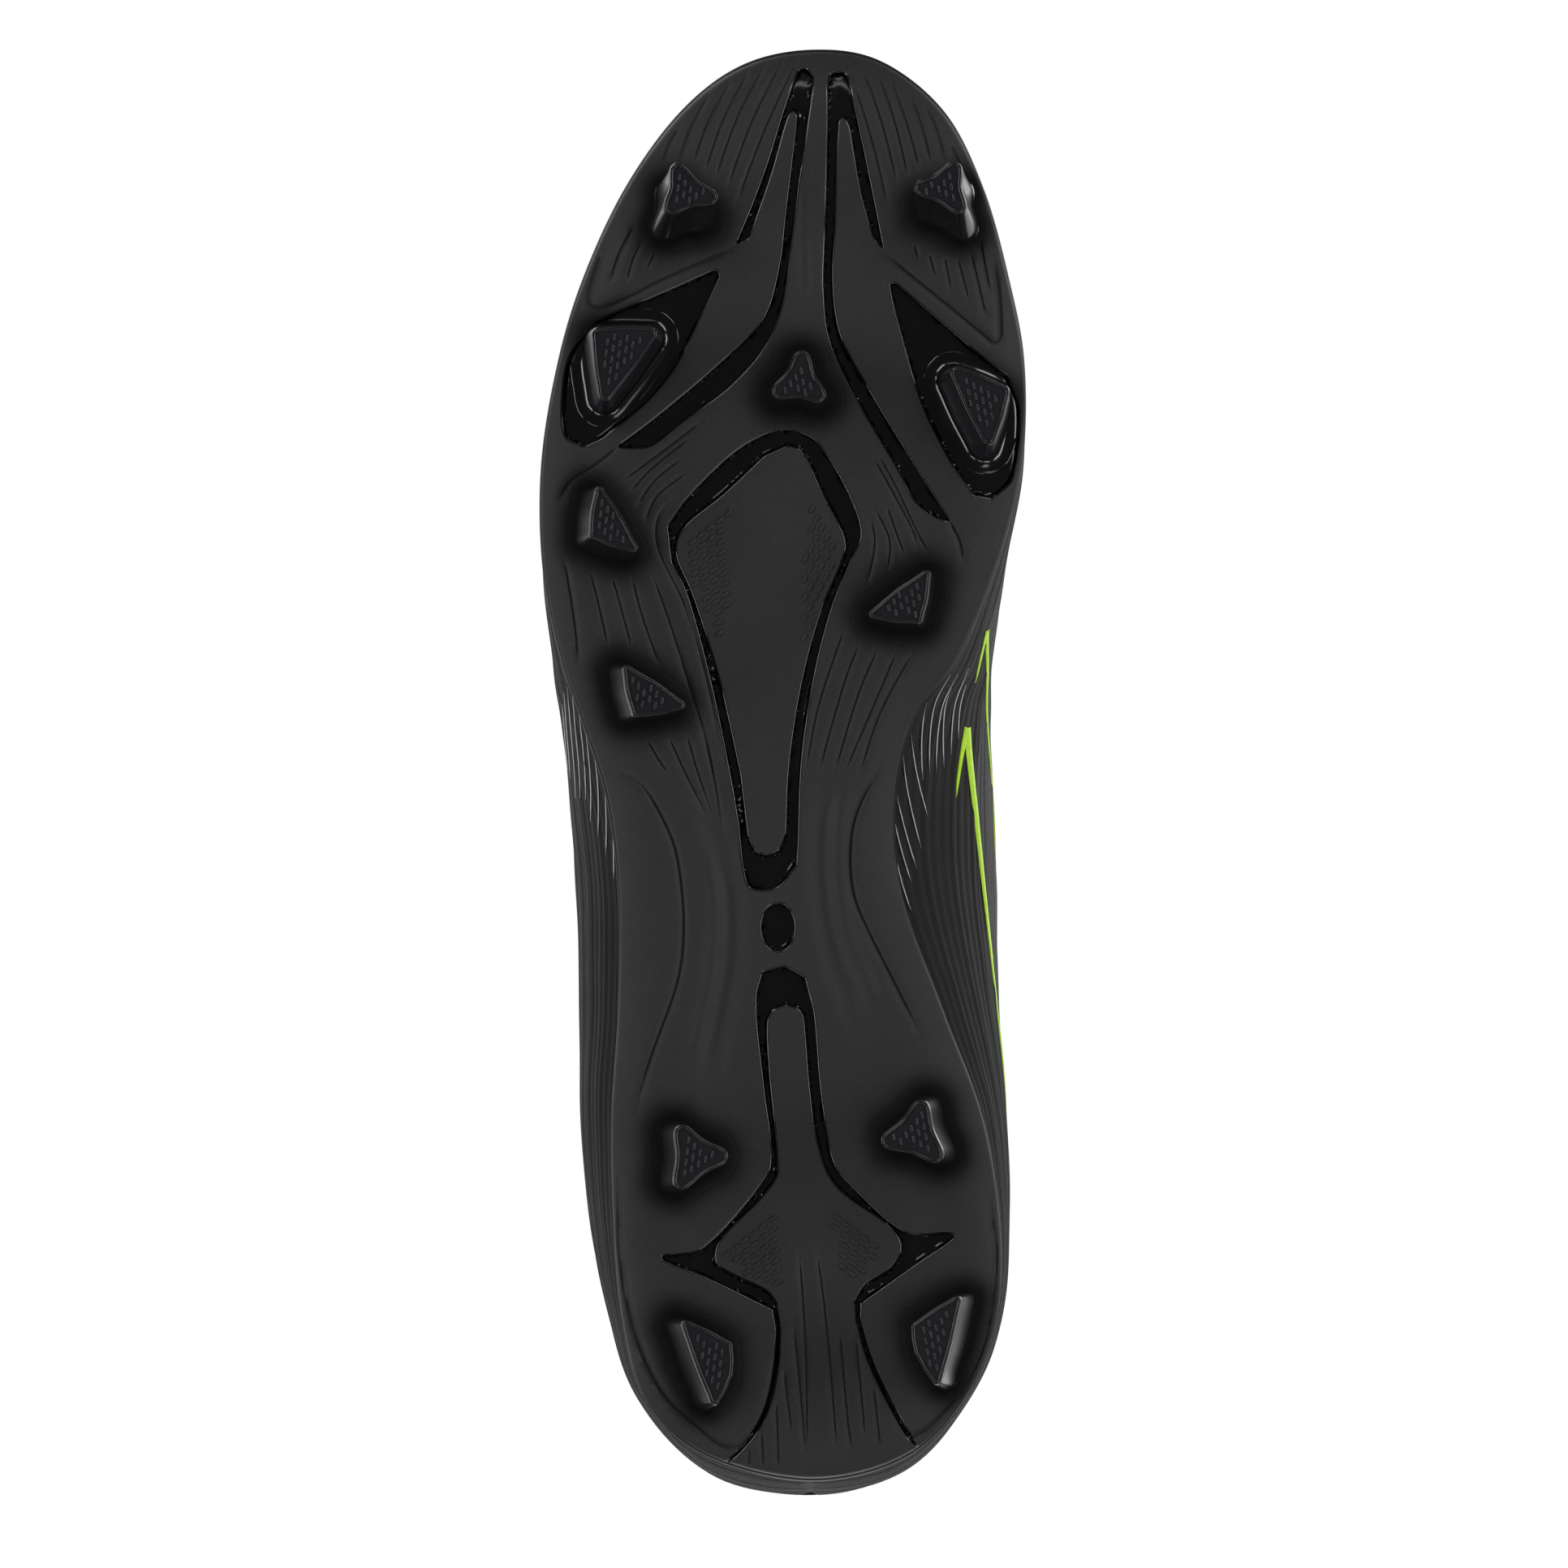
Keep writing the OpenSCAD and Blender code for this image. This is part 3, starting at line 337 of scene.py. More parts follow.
# its tint lightens the colour for grey thread and for painted highlight low on the heel
TEXTILE = material("upper_textile", (0.0052, 0.0052, 0.0056), 0.8, noise=2600, spread=0.35,
                   bump=0.00016, sheen=0.12, kind="rib", second=28.0)
TRIM = material("trim_film", (0.0095, 0.0095, 0.0105), 0.42, noise=1300, spread=0.2,
                bump=0.00002, coat=0.08)
TAPE = material("tape_cloth", (0.012, 0.012, 0.013), 0.85, noise=2400, spread=0.3, bump=0.00008,
                specular=0.2, kind="weave")
LIME = material("lime_line", (0.46, 0.77, 0.015), 0.45, noise=900, spread=0.08, bump=0.00002)
WHITE = material("white_line", (0.6, 0.6, 0.61), 0.5, noise=900, spread=0.06, bump=0.00002)
THREAD = material("stitching", (0.022, 0.022, 0.024), 0.7, noise=3500, spread=0.4, bump=0.00004)
CLOTH = material("lining_cloth", (0.016, 0.016, 0.017), 0.9, noise=2200, spread=0.3,
                 bump=0.00015, sheen=0.12, kind="mesh")
FOAM = material("foam", (0.055, 0.056, 0.06), 0.95, noise=1800, spread=0.35, bump=0.0002)
BOARD = material("board", (0.25, 0.245, 0.23), 0.9, noise=1400, spread=0.3, bump=0.00008)
PLASTIC = material("shank_plastic", (0.01, 0.01, 0.011), 0.35, noise=700, spread=0.2,
                   bump=0.00001)
LACE = material("lace_cord", (0.017, 0.017, 0.0185), 0.82, noise=3000, spread=0.3,
                bump=0.00022, sheen=0.1, kind="weave")
INSOLE = material("insole_cloth", (0.02, 0.02, 0.022), 0.92, noise=2400, spread=0.4,
                  bump=0.00012, sheen=0.1, kind="mesh")


# ---------------------------------------------------------------- mesh building
def new_piece(name, points, groups, mats, body="shoe", slot=None, replaces=(), uv=None,
              mat_index=None, tint=None, sharp=40, flip=False):
    """Mesh object from points in mm and groups of equal-sized faces."""
    points = np.asarray(points, float)
    groups = [np.asarray(g, int) for g in groups if len(g)]
    if flip:
        groups = [g[:, ::-1] for g in groups]
    mesh = bpy.data.meshes.new(name)
    loops = np.concatenate([g.ravel() for g in groups])
    sizes = np.concatenate([np.full(len(g), g.shape[1]) for g in groups])
    mesh.vertices.add(len(points))
    mesh.vertices.foreach_set("co", (points * MM).astype(np.float32).ravel())
    mesh.loops.add(len(loops))
    mesh.loops.foreach_set("vertex_index", loops.astype(np.int32))
    mesh.polygons.add(len(sizes))
    starts = np.concatenate([[0], np.cumsum(sizes)[:-1]]).astype(np.int32)
    mesh.polygons.foreach_set("loop_start", starts)
    for m in mats:
        mesh.materials.append(m)
    if mat_index is not None:
        mesh.polygons.foreach_set("material_index", np.asarray(mat_index, np.int32))
    mesh.polygons.foreach_set("use_smooth", np.ones(len(sizes), bool))
    mesh.update(calc_edges=True)
    if uv is not None:
        layer = mesh.uv_layers.new(name="UVMap")
        layer.data.foreach_set("uv", np.asarray(uv, np.float32)[loops].ravel())
    if tint is not None:
        mesh.attributes.new("tint", "FLOAT", "POINT").data.foreach_set(
            "value", np.asarray(tint, np.float32))
    if sharp:
        mesh.set_sharp_from_angle(angle=math.radians(sharp))
    obj = bpy.data.objects.new(name, mesh)
    bpy.context.scene.collection.objects.link(obj)
    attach(obj, body)
    if replaces:
        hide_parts(*replaces)
    return obj


def grid_faces(rows, cols, offset=0, loop_cols=False):
    """Quads of a grid stored row by row."""
    r, c = np.meshgrid(np.arange(rows - 1), np.arange(cols if loop_cols else cols - 1),
                       indexing="ij")
    r, c = r.ravel() * cols, c.ravel()
    c2 = (c + 1) % cols
    return offset + np.column_stack([r + c, r + c2, r + cols + c2, r + cols + c])


def closed_sheet(name, a, b, mat, uv, up=True, **kw):
    """Piece between two grids of points, closed by a wall round their rim."""
    rows, cols = a.shape[:2]
    n = rows * cols
    rim = np.concatenate([np.arange(cols), np.arange(1, rows) * cols + cols - 1,
                          (rows - 1) * cols + np.arange(cols - 2, -1, -1),
                          np.arange(rows - 2, 0, -1) * cols])
    after = np.roll(rim, -1)
    near, far = grid_faces(rows, cols), grid_faces(rows, cols, offset=n)
    if up:
        groups = [near, far[:, ::-1], np.column_stack([after, rim, rim + n, after + n])]
    else:
        groups = [near[:, ::-1], far, np.column_stack([rim, after, after + n, rim + n])]
    uv = uv.reshape(-1, 2)
    return new_piece(name, np.vstack([a.reshape(-1, 3), b.reshape(-1, 3)]), groups, [mat],
                     uv=np.vstack([uv, uv]), **kw)


class Heap:
    """Collects parts of one mesh."""

    def __init__(self):
        self.points, self.groups, self.uvs, self.count = [], [], [], 0

    def add(self, points, faces, uv=None):
        points = np.asarray(points, float).reshape(-1, 3)
        for f in faces if isinstance(faces, list) else [faces]:
            self.groups.append(np.asarray(f, int) + self.count)
        self.points.append(points)
        self.uvs.append(np.zeros((len(points), 2)) if uv is None else np.asarray(uv).reshape(-1, 2))
        self.count += len(points)

    def piece(self, name, mats, **kw):
        return new_piece(name, np.vstack(self.points), self.groups, mats,
                         uv=np.vstack(self.uvs), **kw)


def segments(q, closed):
    """Spans of an outline, as pairs of points."""
    q = np.asarray(q, float)
    return list(zip(q, np.vstack([q[1:], q[:1]]))) if closed else list(zip(q[:-1], q[1:]))


def line_distance(p, q, reach, closed=False):
    """Distance of points from a line, up to reach, and how far along it (0 to 1) they lie."""
    d = np.full(len(p), float(reach))
    at = np.zeros(len(p))
    spans = segments(q, closed)
    lengths = np.array([np.linalg.norm(b - a) for a, b in spans])
    total, start = lengths.sum(), 0.0
    order = np.argsort(p[:, 1])
    ys = p[order, 1]
    for (a, b), size in zip(spans, lengths):
        if size > 1e-9:
            i0 = np.searchsorted(ys, min(a[1], b[1]) - reach)
            i1 = np.searchsorted(ys, max(a[1], b[1]) + reach)
            m = order[i0:i1]
            m = m[(p[m, 0] > min(a[0], b[0]) - reach) & (p[m, 0] < max(a[0], b[0]) + reach)]
            if len(m):
                w, v = p[m] - a, b - a
                t = np.clip(w @ v / size ** 2, 0, 1)
                e = np.hypot(*(w - t[:, None] * v).T)
                near = e < d[m]
                d[m[near]] = e[near]
                at[m[near]] = (start + t[near] * size) / total
        start += size
    return d, at


def inside(p, q):
    """True where a point lies inside a closed outline."""
    order = np.argsort(p[:, 1])
    ys = p[order, 1]
    odd = np.zeros(len(p), bool)
    for a, b in segments(q, True):
        low, high = min(a[1], b[1]), max(a[1], b[1])
        if high > low:
            m = order[np.searchsorted(ys, low):np.searchsorted(ys, high)]
            x = a[0] + (p[m, 1] - a[1]) * (b[0] - a[0]) / (b[1] - a[1])
            odd[m[p[m, 0] < x]] ^= True
    return odd


def resample(q, step, closed=True):
    """Outline with its corners kept and no span longer than step."""
    out = []
    for a, b in segments(q, closed):
        n = max(1, int(math.ceil(np.linalg.norm(b - a) / step)))
        out += [a + (b - a) * i / n for i in range(n)]
    if not closed:
        out.append(np.asarray(q[-1], float))
    return np.array(out)


def normals(q, closed=True):
    """Unit directions across an outline."""
    if closed:
        t = np.roll(q, -1, 0) - np.roll(q, 1, 0)
    else:
        t = np.gradient(q, axis=0)
    n = np.column_stack([t[:, 1], -t[:, 0]])
    return n / np.maximum(1e-9, np.linalg.norm(n, axis=1, keepdims=True))


# ---------------------------------------------------------------- outlines of the sole
FOOT_EDGE = around(EDGE, np.linspace(0, COUNT, 721)[:-1])
OUTWARD = normals(FOOT_EDGE)
# a quarter round is on the outer side, where outward has a negative x
if OUTWARD[180, 0] > 0:
    OUTWARD = -OUTWARD
RIM = FOOT_EDGE + OUTWARD * FEATHER

SLOT_OUTER = np.vstack([
    through([[2.6, -137.8], [0.2, -131], [-3, -120.5], [-6.5, -111], [-9.3, -104.4]]),
    through([[-7.2, -105.5], [-3, -117.5], [-0.2, -127.5]]),
    through([[0.7, -130.1], [1.8, -130.9], [2.8, -130]]),
    through([[2.2, -124], [0.6, -111], [-0.8, -99.5], [-4.2, -89], [-13.5, -79.7],
             [-25, -70], [-32.6, -64.3]]),
    through([[-30, -64.1], [-26, -64.8], [-20, -69.5], [-11, -76], [-4, -84], [-0.3, -93],
             [1.3, -105], [3.3, -120], [5.4, -135]]),
    through([[5.6, -137.6], [4.3, -139.1], [3, -138.8]])])
SLOT_INNER = np.vstack([
    through([[12.4, -137.6], [14.3, -129], [17, -116], [19.4, -103.8]]),
    through([[17.9, -105.5], [15.4, -114.5], [13.2, -127.5]]),
    through([[12.6, -129], [11.5, -129.6], [10.6, -128.8]]),
    through([[10.3, -124], [10, -110], [9.4, -97], [11, -86], [16.5, -75.5], [25, -61.5],
             [32.5, -49.7]]),
    through([[29.5, -50.6], [26, -53.5], [22, -61], [14.5, -73.5], [9.2, -85], [8, -95],
             [8.4, -110], [8.8, -128], [8.8, -135.5]]),
    through([[9.2, -137.9], [10.8, -138.4], [12, -138.1]])])
POCKET_OUTER = np.vstack([
    [[-12.8, -98.2], [-13.6, -99], [-33, -90.5]],
    through([[-37, -88.8], [-42.2, -82], [-43.6, -73], [-43, -66.5], [-39.5, -64.4]]),
    through([[-36, -66], [-27, -73.5], [-20.5, -82], [-14.5, -94.5]])])
POCKET_INNER = np.vstack([
    [[21, -96.2], [21.8, -96.5], [40.8, -80.2]],
    through([[44, -78], [46.4, -71], [45.3, -59], [41, -54.2]]),
    through([[37.5, -54.8], [33, -61.5], [27, -74], [22, -91]])])
KITE_OUTER = np.vstack([
    through([[-22.8, -48.5], [-18, -55], [-9, -63.5], [-1, -67.3], [4.5, -66.3], [8, -63],
             [13, -54], [15, -47], [13, -42], [9, -32], [5.5, -18], [3.2, -2], [2.6, 14]]),
    through([[2.4, 18], [-1.5, 22.5], [-6.5, 22.6], [-8, 18.5]]),
    through([[-8.8, 10], [-10.3, 1], [-14, -17], [-18.5, -34], [-22, -41.5]])])
KITE_INNER = np.vstack([
    through([[1, -64.8], [4, -63], [8, -54.5], [12, -46.5], [11.5, -41.5], [7.5, -32],
             [3.7, -18], [1.2, -2], [0.5, 12]]),
    through([[-0.8, 15.4], [-3.2, 16.4], [-5.8, 15.5], [-7.3, 12.5]]),
    through([[-8.8, 0], [-13, -18.5], [-18, -34.5], [-21.4, -43], [-19.8, -48.5], [-12, -55],
             [-4, -62.5]])])
HEEL_LEFT = through([[-4.2, 39.5], [-5.4, 46], [-3.8, 62], [-2.3, 75], [-4.5, 81.5],
                     [-15.5, 93.6], [-23.4, 95.3], [-22.5, 96.6], [-14, 100], [-2.2, 105.8]])
HEEL_RIGHT = through([[15, 104.6], [25, 97.5], [32.7, 92.2], [32.4, 91], [23.5, 90.6],
                      [13.5, 82], [9.3, 76], [7, 62], [5.8, 48], [4, 40.5]])
PLUG_LEFT = through([[-2.4, 46.6], [-3.5, 50], [-3, 60], [-1.6, 75], [-2.6, 81.3],
                     [-12.3, 91.5], [-13.5, 96.5], [-10.5, 98.9], [-4, 102], [-1.7, 104.5]])
PLUG_RIGHT = through([[14.1, 104.5], [16.5, 100.8], [21.5, 97.5], [23.2, 93], [20, 88.5],
                      [10.5, 81.5], [6.8, 73], [5.2, 62], [4.1, 49], [3, 46.4]])
PANEL_LEFT = through([[-1.3, 110], [-1.8, 118], [-4, 126.5], [-9, 134], [-18, 141]])
PANEL_RIGHT = through([[34, 141], [27, 134], [21.5, 125], [17, 115.5], [14.8, 108.5]])
HEEL_WINDOW = np.vstack([HEEL_LEFT, PANEL_LEFT, PANEL_RIGHT, HEEL_RIGHT, [[0, 38.3]]])
HEEL_PLUG = np.vstack([PLUG_LEFT, PANEL_LEFT + [0.3, 0], PANEL_RIGHT - [0.3, 0], PLUG_RIGHT,
                       [[0.4, 45.6]]])
TURN = np.linspace(0, FULL_TURN, 49)[:-1]
OVAL = np.column_stack([-1.2 + 3.2 * np.cos(TURN), 30.5 + 4.6 * np.sin(TURN)])
HOLES = [SLOT_OUTER, SLOT_INNER, POCKET_OUTER, POCKET_INNER, KITE_OUTER, HEEL_WINDOW, OVAL]

# fine grooves, then the deeper creases round the studs: points, depth, half width
GROOVES = [(q, 0.5, 0.26) for q in [
    [(-20.7, -127.5), (-22.8, -124), (-24, -120.5)], [(-15, -134), (-18.6, -127), (-20.8, -120.5)],
    [(-10.5, -137), (-15, -128.5), (-18, -120)], [(-7, -139), (-12, -129), (-15.7, -118.3)],
    [(-3.7, -140.5), (-9.4, -129), (-13.7, -116.8)], [(-0.2, -141.3), (-6.6, -128), (-11.3, -115)],
    [(3, -142), (-3.8, -127), (-9.5, -112)], [(-29.5, -108), (-32.4, -102.5), (-34.3, -97)],
    [(-28, -105), (-29.9, -101), (-31, -97)], [(-25.5, -102.5), (-27, -99.5)],
    [(12.7, -139.5), (17, -126), (20.5, -112)], [(15.5, -139.5), (19.4, -128), (22.3, -116.3)],
    [(18.5, -138.5), (22, -128), (24.5, -117.5)], [(21, -137.5), (24.3, -128), (26.8, -119)],
    [(25, -134), (27.4, -127), (29, -120.5)], [(28, -132), (30.3, -126.5), (31.8, -121)],
    [(33, -124), (35, -119.5)], [(25.7, -104), (26.4, -101.5)], [(28.7, -102.2), (29.8, -98)],
    [(31.7, -101.7), (33, -95.2)], [(34.3, -101.5), (36.5, -93)], [(36.9, -102.5), (39.8, -90)],
    [(38.6, -105.3), (40.5, -95)],
    [(-16, -69.3), (-25, -62.5), (-32, -57.2)], [(-18.5, -66), (-26, -60), (-30.5, -55)],
    [(-20, -62), (-25.5, -57.5), (-29, -52.5)], [(-19.3, -59), (-25, -54.5), (-27.4, -49.5)],
    [(-21, -54.5), (-24.5, -51), (-25.2, -46), (-23.5, -41), (-20, -34), (-17, -25),
     (-14.5, -15), (-12.5, -6), (-11.5, 0)],
    [(-38.3, -40), (-36.5, -33), (-34.7, -24.7)], [(-33.9, -38.8), (-32, -32), (-30, -24.7)],
    [(-30, -38.8), (-28, -31), (-24.5, -21)],
    [(-26.2, -40), (-22, -28), (-18, -15), (-15.5, -8), (-14, 0)],
    [(-43.2, -42), (-41.3, -30), (-40.5, -22)], [(-27, -6.5), (-25, -3), (-23, 0)],
    [(-22.8, -7.2), (-19.5, 0), (-15.5, 8)], [(-19.3, -8), (-17, 0), (-13.5, 10)],
    [(-17, -12), (-14, 0), (-12, 12)],
    [(18.5, -63), (22, -56.5), (27, -46), (29, -43)], [(17.5, -62.5), (25, -48.5), (26.3, -44)],
    [(20.3, -52.5), (23.7, -43)], [(18, -52), (20.8, -46), (20.5, -40)],
    [(17.2, -50), (17.9, -45), (16.5, -37.5)], [(12.2, -29), (10, -23), (6.5, -12), (4.3, 0)],
    [(15, -26), (12, -18), (8.5, -6), (7, 0)], [(18.7, -25), (14.5, -15), (10, 0)],
    [(22.5, -24.5), (18, -14), (12, 0)], [(25.5, -24), (19, -12), (15, 0)],
    [(3, 94), (4.2, 112), (4.7, 135)], [(6.5, 94), (8.5, 110), (10.5, 134)],
    [(2, 109), (3.5, 125), (4.3, 135)], [(0, 118), (1.5, 130)], [(11, 110), (12.5, 127), (13.5, 134)],
    [(14, 109), (16, 131)], [(17.7, 121), (19, 133)], [(-1.5, 124), (-1, 137)],
    [(-4.5, 128), (-4, 137)], [(-6.8, 133), (-6.8, 137)]]]
GROOVES += [(q, 0.8, 0.42) for q in [
    [(-9.3, -104.4), (-11, -103), (-17, -100.3), (-25, -96.7), (-32, -93), (-36, -91.6),
     (-38.5, -93), (-37.5, -98), (-35, -105)],
    [(19.4, -103.8), (19.8, -102.5), (25, -98), (33, -91.5), (39, -86.5), (41, -84.8),
     (42.5, -85.5), (42.7, -88), (42.3, -95), (41, -103)],
    [(-32.6, -64.3), (-37.5, -60.5), (-42, -57.5), (-44.3, -53.5)],
    [(32.5, -49.7), (34.5, -46), (35.3, -42)],
    [(-32, 0), (-28, 2.5), (-24.5, 8), (-21.5, 15), (-20.2, 23), (-19.8, 30), (-20.2, 37),
     (-21.5, 43), (-24, 50), (-26.5, 57), (-28.5, 64), (-29, 67)],
    [(19, -1), (15.5, 5), (13.5, 11), (13, 18), (14, 25), (17, 32), (21, 40), (25, 48), (27, 52)],
    [(-32.5, 80), (-32.3, 95), (-29.5, 110), (-24, 122), (-17, 129), (-12.5, 132.5),
     (-9.5, 132.8), (-7, 131), (-4, 126.5), (-2, 118), (-1, 110), (-1.5, 105)],
    [(40.5, 84), (41.7, 97), (39.5, 112), (35, 121.5), (29.5, 128), (26, 130.5), (24, 130),
     (21, 125), (17, 116), (14.8, 108)]]]
# broad soft valleys (+) and ridges (-): points, depth, half width
VALLEYS = [
    ([(-15.5, 72), (-14.5, 62), (-13, 50), (-10.8, 40), (-10.3, 30), (-11, 22), (-13, 12),
      (-16, 5), (-21, -3)], 1.5, 2.6),
    ([(17, 58), (13, 45), (9.5, 35), (7.8, 25), (7.3, 15), (8.5, 5), (11, -3)], 1.4, 2.3),
    ([(21, 52), (16.8, 42), (12.8, 33), (11, 25), (10.4, 15), (11.5, 5), (14.5, -4)], -0.9, 1.6),
    ([(-19, 62), (-15.8, 48), (-13.7, 35), (-13.6, 22), (-16.2, 12)], -1.0, 1.7),
    ([(3.6, -128), (4, -110), (4.4, -88)], 0.6, 1.1),
    ([(6.6, -130), (6.2, -110), (6.2, -88)], -0.5, 1.4)]
GROOVES = [(through(q, 4), depth, wide) for q, depth, wide in GROOVES]
VALLEYS = [(through(q, 4), depth, wide) for q, depth, wide in VALLEYS]

# studs: name, tip corners, roundness, hollow of the sides (- is full), height of the tip over
# the ground, lean of the root
STUDS = [
    ("toe_outer", [[-20.9, -118.6], [-14.2, -113.2], [-22.2, -111.2]], 1.2, 0.5, 3, [-1.7, 4]),
    ("toe_inner", [[33.5, -118.8], [26.9, -115], [34.4, -111.2]], 1.2, 0.5, 3, [1.2, 4]),
    ("centre", [[3.5, -81.6], [-0.9, -75], [6.8, -74.2]], 1.3, 0.6, 0, [0, 0.6]),
    ("ball_outer", [[-36.3, -86], [-26.4, -86.2], [-35, -74.5]], 1.6, -0.2, 0, [-0.3, 0.6]),
    ("ball_inner", [[34.2, -78.4], [42.8, -74.8], [40.2, -66]], 1.6, -0.2, 0, [-0.8, 1.2]),
    ("mid_outer", [[-36.2, -55.3], [-37.4, -46.9], [-29.6, -44.2]], 1, -0.3, 0, [-1.8, 0.8]),
    ("mid_inner", [[27.9, -38.9], [17.6, -31.2], [26.3, -30.2]], 1, -0.3, 0, [0.3, 0.4]),
    ("rear_outer", [[-30.8, -20.2], [-20.3, -13.3], [-29, -11.8]], 1, -0.3, 0, [-2, 0.3]),
    ("heel_front_outer", [[-20, 70.6], [-12.3, 75.4], [-20.2, 80.6]], 1.3, 0.5, 0, [-1.9, 0.2]),
    ("heel_front_inner", [[26.9, 65.7], [20.4, 72.4], [29.9, 75.3]], 1.3, 0.5, 0, [1.6, 0]),
    ("heel_rear_outer", [[-19.2, 108.6], [-11, 112.6], [-11, 118.4], [-13.6, 123.4]], 1, -0.2, 0,
     [-2.2, 0.5]),
    ("heel_rear_inner", [[33.9, 103.8], [25.9, 109], [26.6, 114], [30, 119.4]], 1, -0.2, 0,
     [1.9, 0.4])]


def stud_outline(stud, grow, lean=0.0, arc=8, side=12):
    """Outline of a stud: round corners, slightly hollow or full sides."""
    q = np.array(stud[1], float)
    n = len(q)
    soft = 0.55 if n == 3 and stud[3] > 0 else 0.0
    q = q.mean(0) + (q - q.mean(0)) * (1 - soft * 0.13)
    r = max(0.06, stud[2] + soft + grow)
    turn = 1 if np.cross(q[1] - q[0], q[2] - q[1]) > 0 else -1
    out = []
    for i in range(n):
        a, b, d = q[i - 1], q[i], q[(i + 1) % n]
        na = turn * np.array([(b - a)[1], (a - b)[0]]) / np.linalg.norm(b - a)
        nb = turn * np.array([(d - b)[1], (b - d)[0]]) / np.linalg.norm(d - b)
        start = math.atan2(na[1], na[0])
        sweep = (math.atan2(nb[1], nb[0]) - start + math.pi) % (2 * math.pi) - math.pi
        for k in range(arc):
            t = start + sweep * k / (arc - 1)
            out.append(b + r * np.array([math.cos(t), math.sin(t)]))
        for k in range(1, side):
            t = k / side
            out.append(b + (d - b) * t + nb * (r - stud[3] * math.sin(math.pi * t) ** 2))
    return np.array(out) + np.array(stud[5]) * lean


ROOTS = [stud_outline(s, ROOT_GROW, 1.0) for s in STUDS]


def nearest(p, outlines, reach):
    """Distance of points from the nearest of the closed outlines, up to reach."""
    d = np.full(len(p), float(reach))
    for q in outlines:
        d = np.minimum(d, line_distance(p, q, reach, closed=True)[0])
    return d


def within(p, outlines):
    """True where a point lies inside one of the outlines."""
    found = np.zeros(len(p), bool)
    for q in outlines:
        found |= inside(p, q)
    return found


def rim_inset(p):
    """Distance of points from the rim of the sole, up to 10 mm."""
    return nearest(p, [RIM], 10)


def from_roots(p):
    """For each stud, the distance of points from its root, 0 inside it and up to 9 mm."""
    return [np.where(inside(p, q), 0, nearest(p, [q], 9)) for q in ROOTS]


def relief(p):
    """Height of the ground side over the plain sole: + is up, into the sole."""
    z = np.zeros(len(p))
    for q, depth, wide in GROOVES + VALLEYS:
        broad = wide > 1
        d, t = line_distance(p, q, 3 * wide)
        ends = np.clip(np.minimum(t, 1 - t) / (0.2 if broad else 0.12), 0, 1)
        fade = ends * ends if broad else 0.25 + 0.75 * ends
        z += depth * fade * np.where(d < 3 * wide, np.exp(-(d / wide) ** 2), 0)
    for d in from_roots(p):
        z += 0.3 * np.exp(-(d / 3.0) ** 2)
    return np.where(z > 0, RELIEF_LIMIT * np.tanh(z / RELIEF_LIMIT), z)


def painted_stud_shade(p):
    """Share of painted shade, a darker tone without gloss, that surrounds every stud."""
    near = np.minimum.reduce(from_roots(p))
    return 0.92 * np.exp(-(near / 3.3) ** 2)


def rounding(d, r):
    """Rise of a rounded edge at the distance d from it."""
    x = 0.92 * np.clip(1 - d / r, 0, 1)
    return r * (1 - np.sqrt(np.maximum(0, 1 - x * x)))


def skin_height(p, outlines):
    """Ground side of a matte part, its distance from the outlines and from the rim."""
    e = rim_inset(p)
    z = sole_height(p[:, 1], e) + rounding(e, RIM_ROUND) + relief(p)
    edge = nearest(p, outlines, 2)
    return z + rounding(edge, CHANNEL_ROUND), edge, e


def thin_out(sets, cell):
    """Keeps the first point of every small cell."""
    p = np.vstack(sets)
    key = np.floor((p + 500) / cell).astype(np.int64)
    key = key[:, 0] * 100000 + key[:, 1]
    _, first = np.unique(key, return_index=True)
    return p[np.sort(first)]


def clear_of(p, q, gap):
    """Points of p that keep a gap to every point of q, found on a grid of cells."""
    cell = 0.15
    low = np.minimum(p.min(0), q.min(0)) - 2
    size = (np.maximum(p.max(0), q.max(0)) + 2 - low) / cell
    taken = np.zeros((int(size[0]) + 2, int(size[1]) + 2), bool)
    k = ((q - low) / cell).astype(int)
    taken[k[:, 0], k[:, 1]] = True
    for _ in range(2):
        grown = taken.copy()
        for s in range(1, int(gap / cell) + 1):
            grown[s:] |= taken[:-s]
            grown[:-s] |= taken[s:]
        taken = grown.T
    k = ((p - low) / cell).astype(int)
    return p[~taken[k[:, 0], k[:, 1]]]


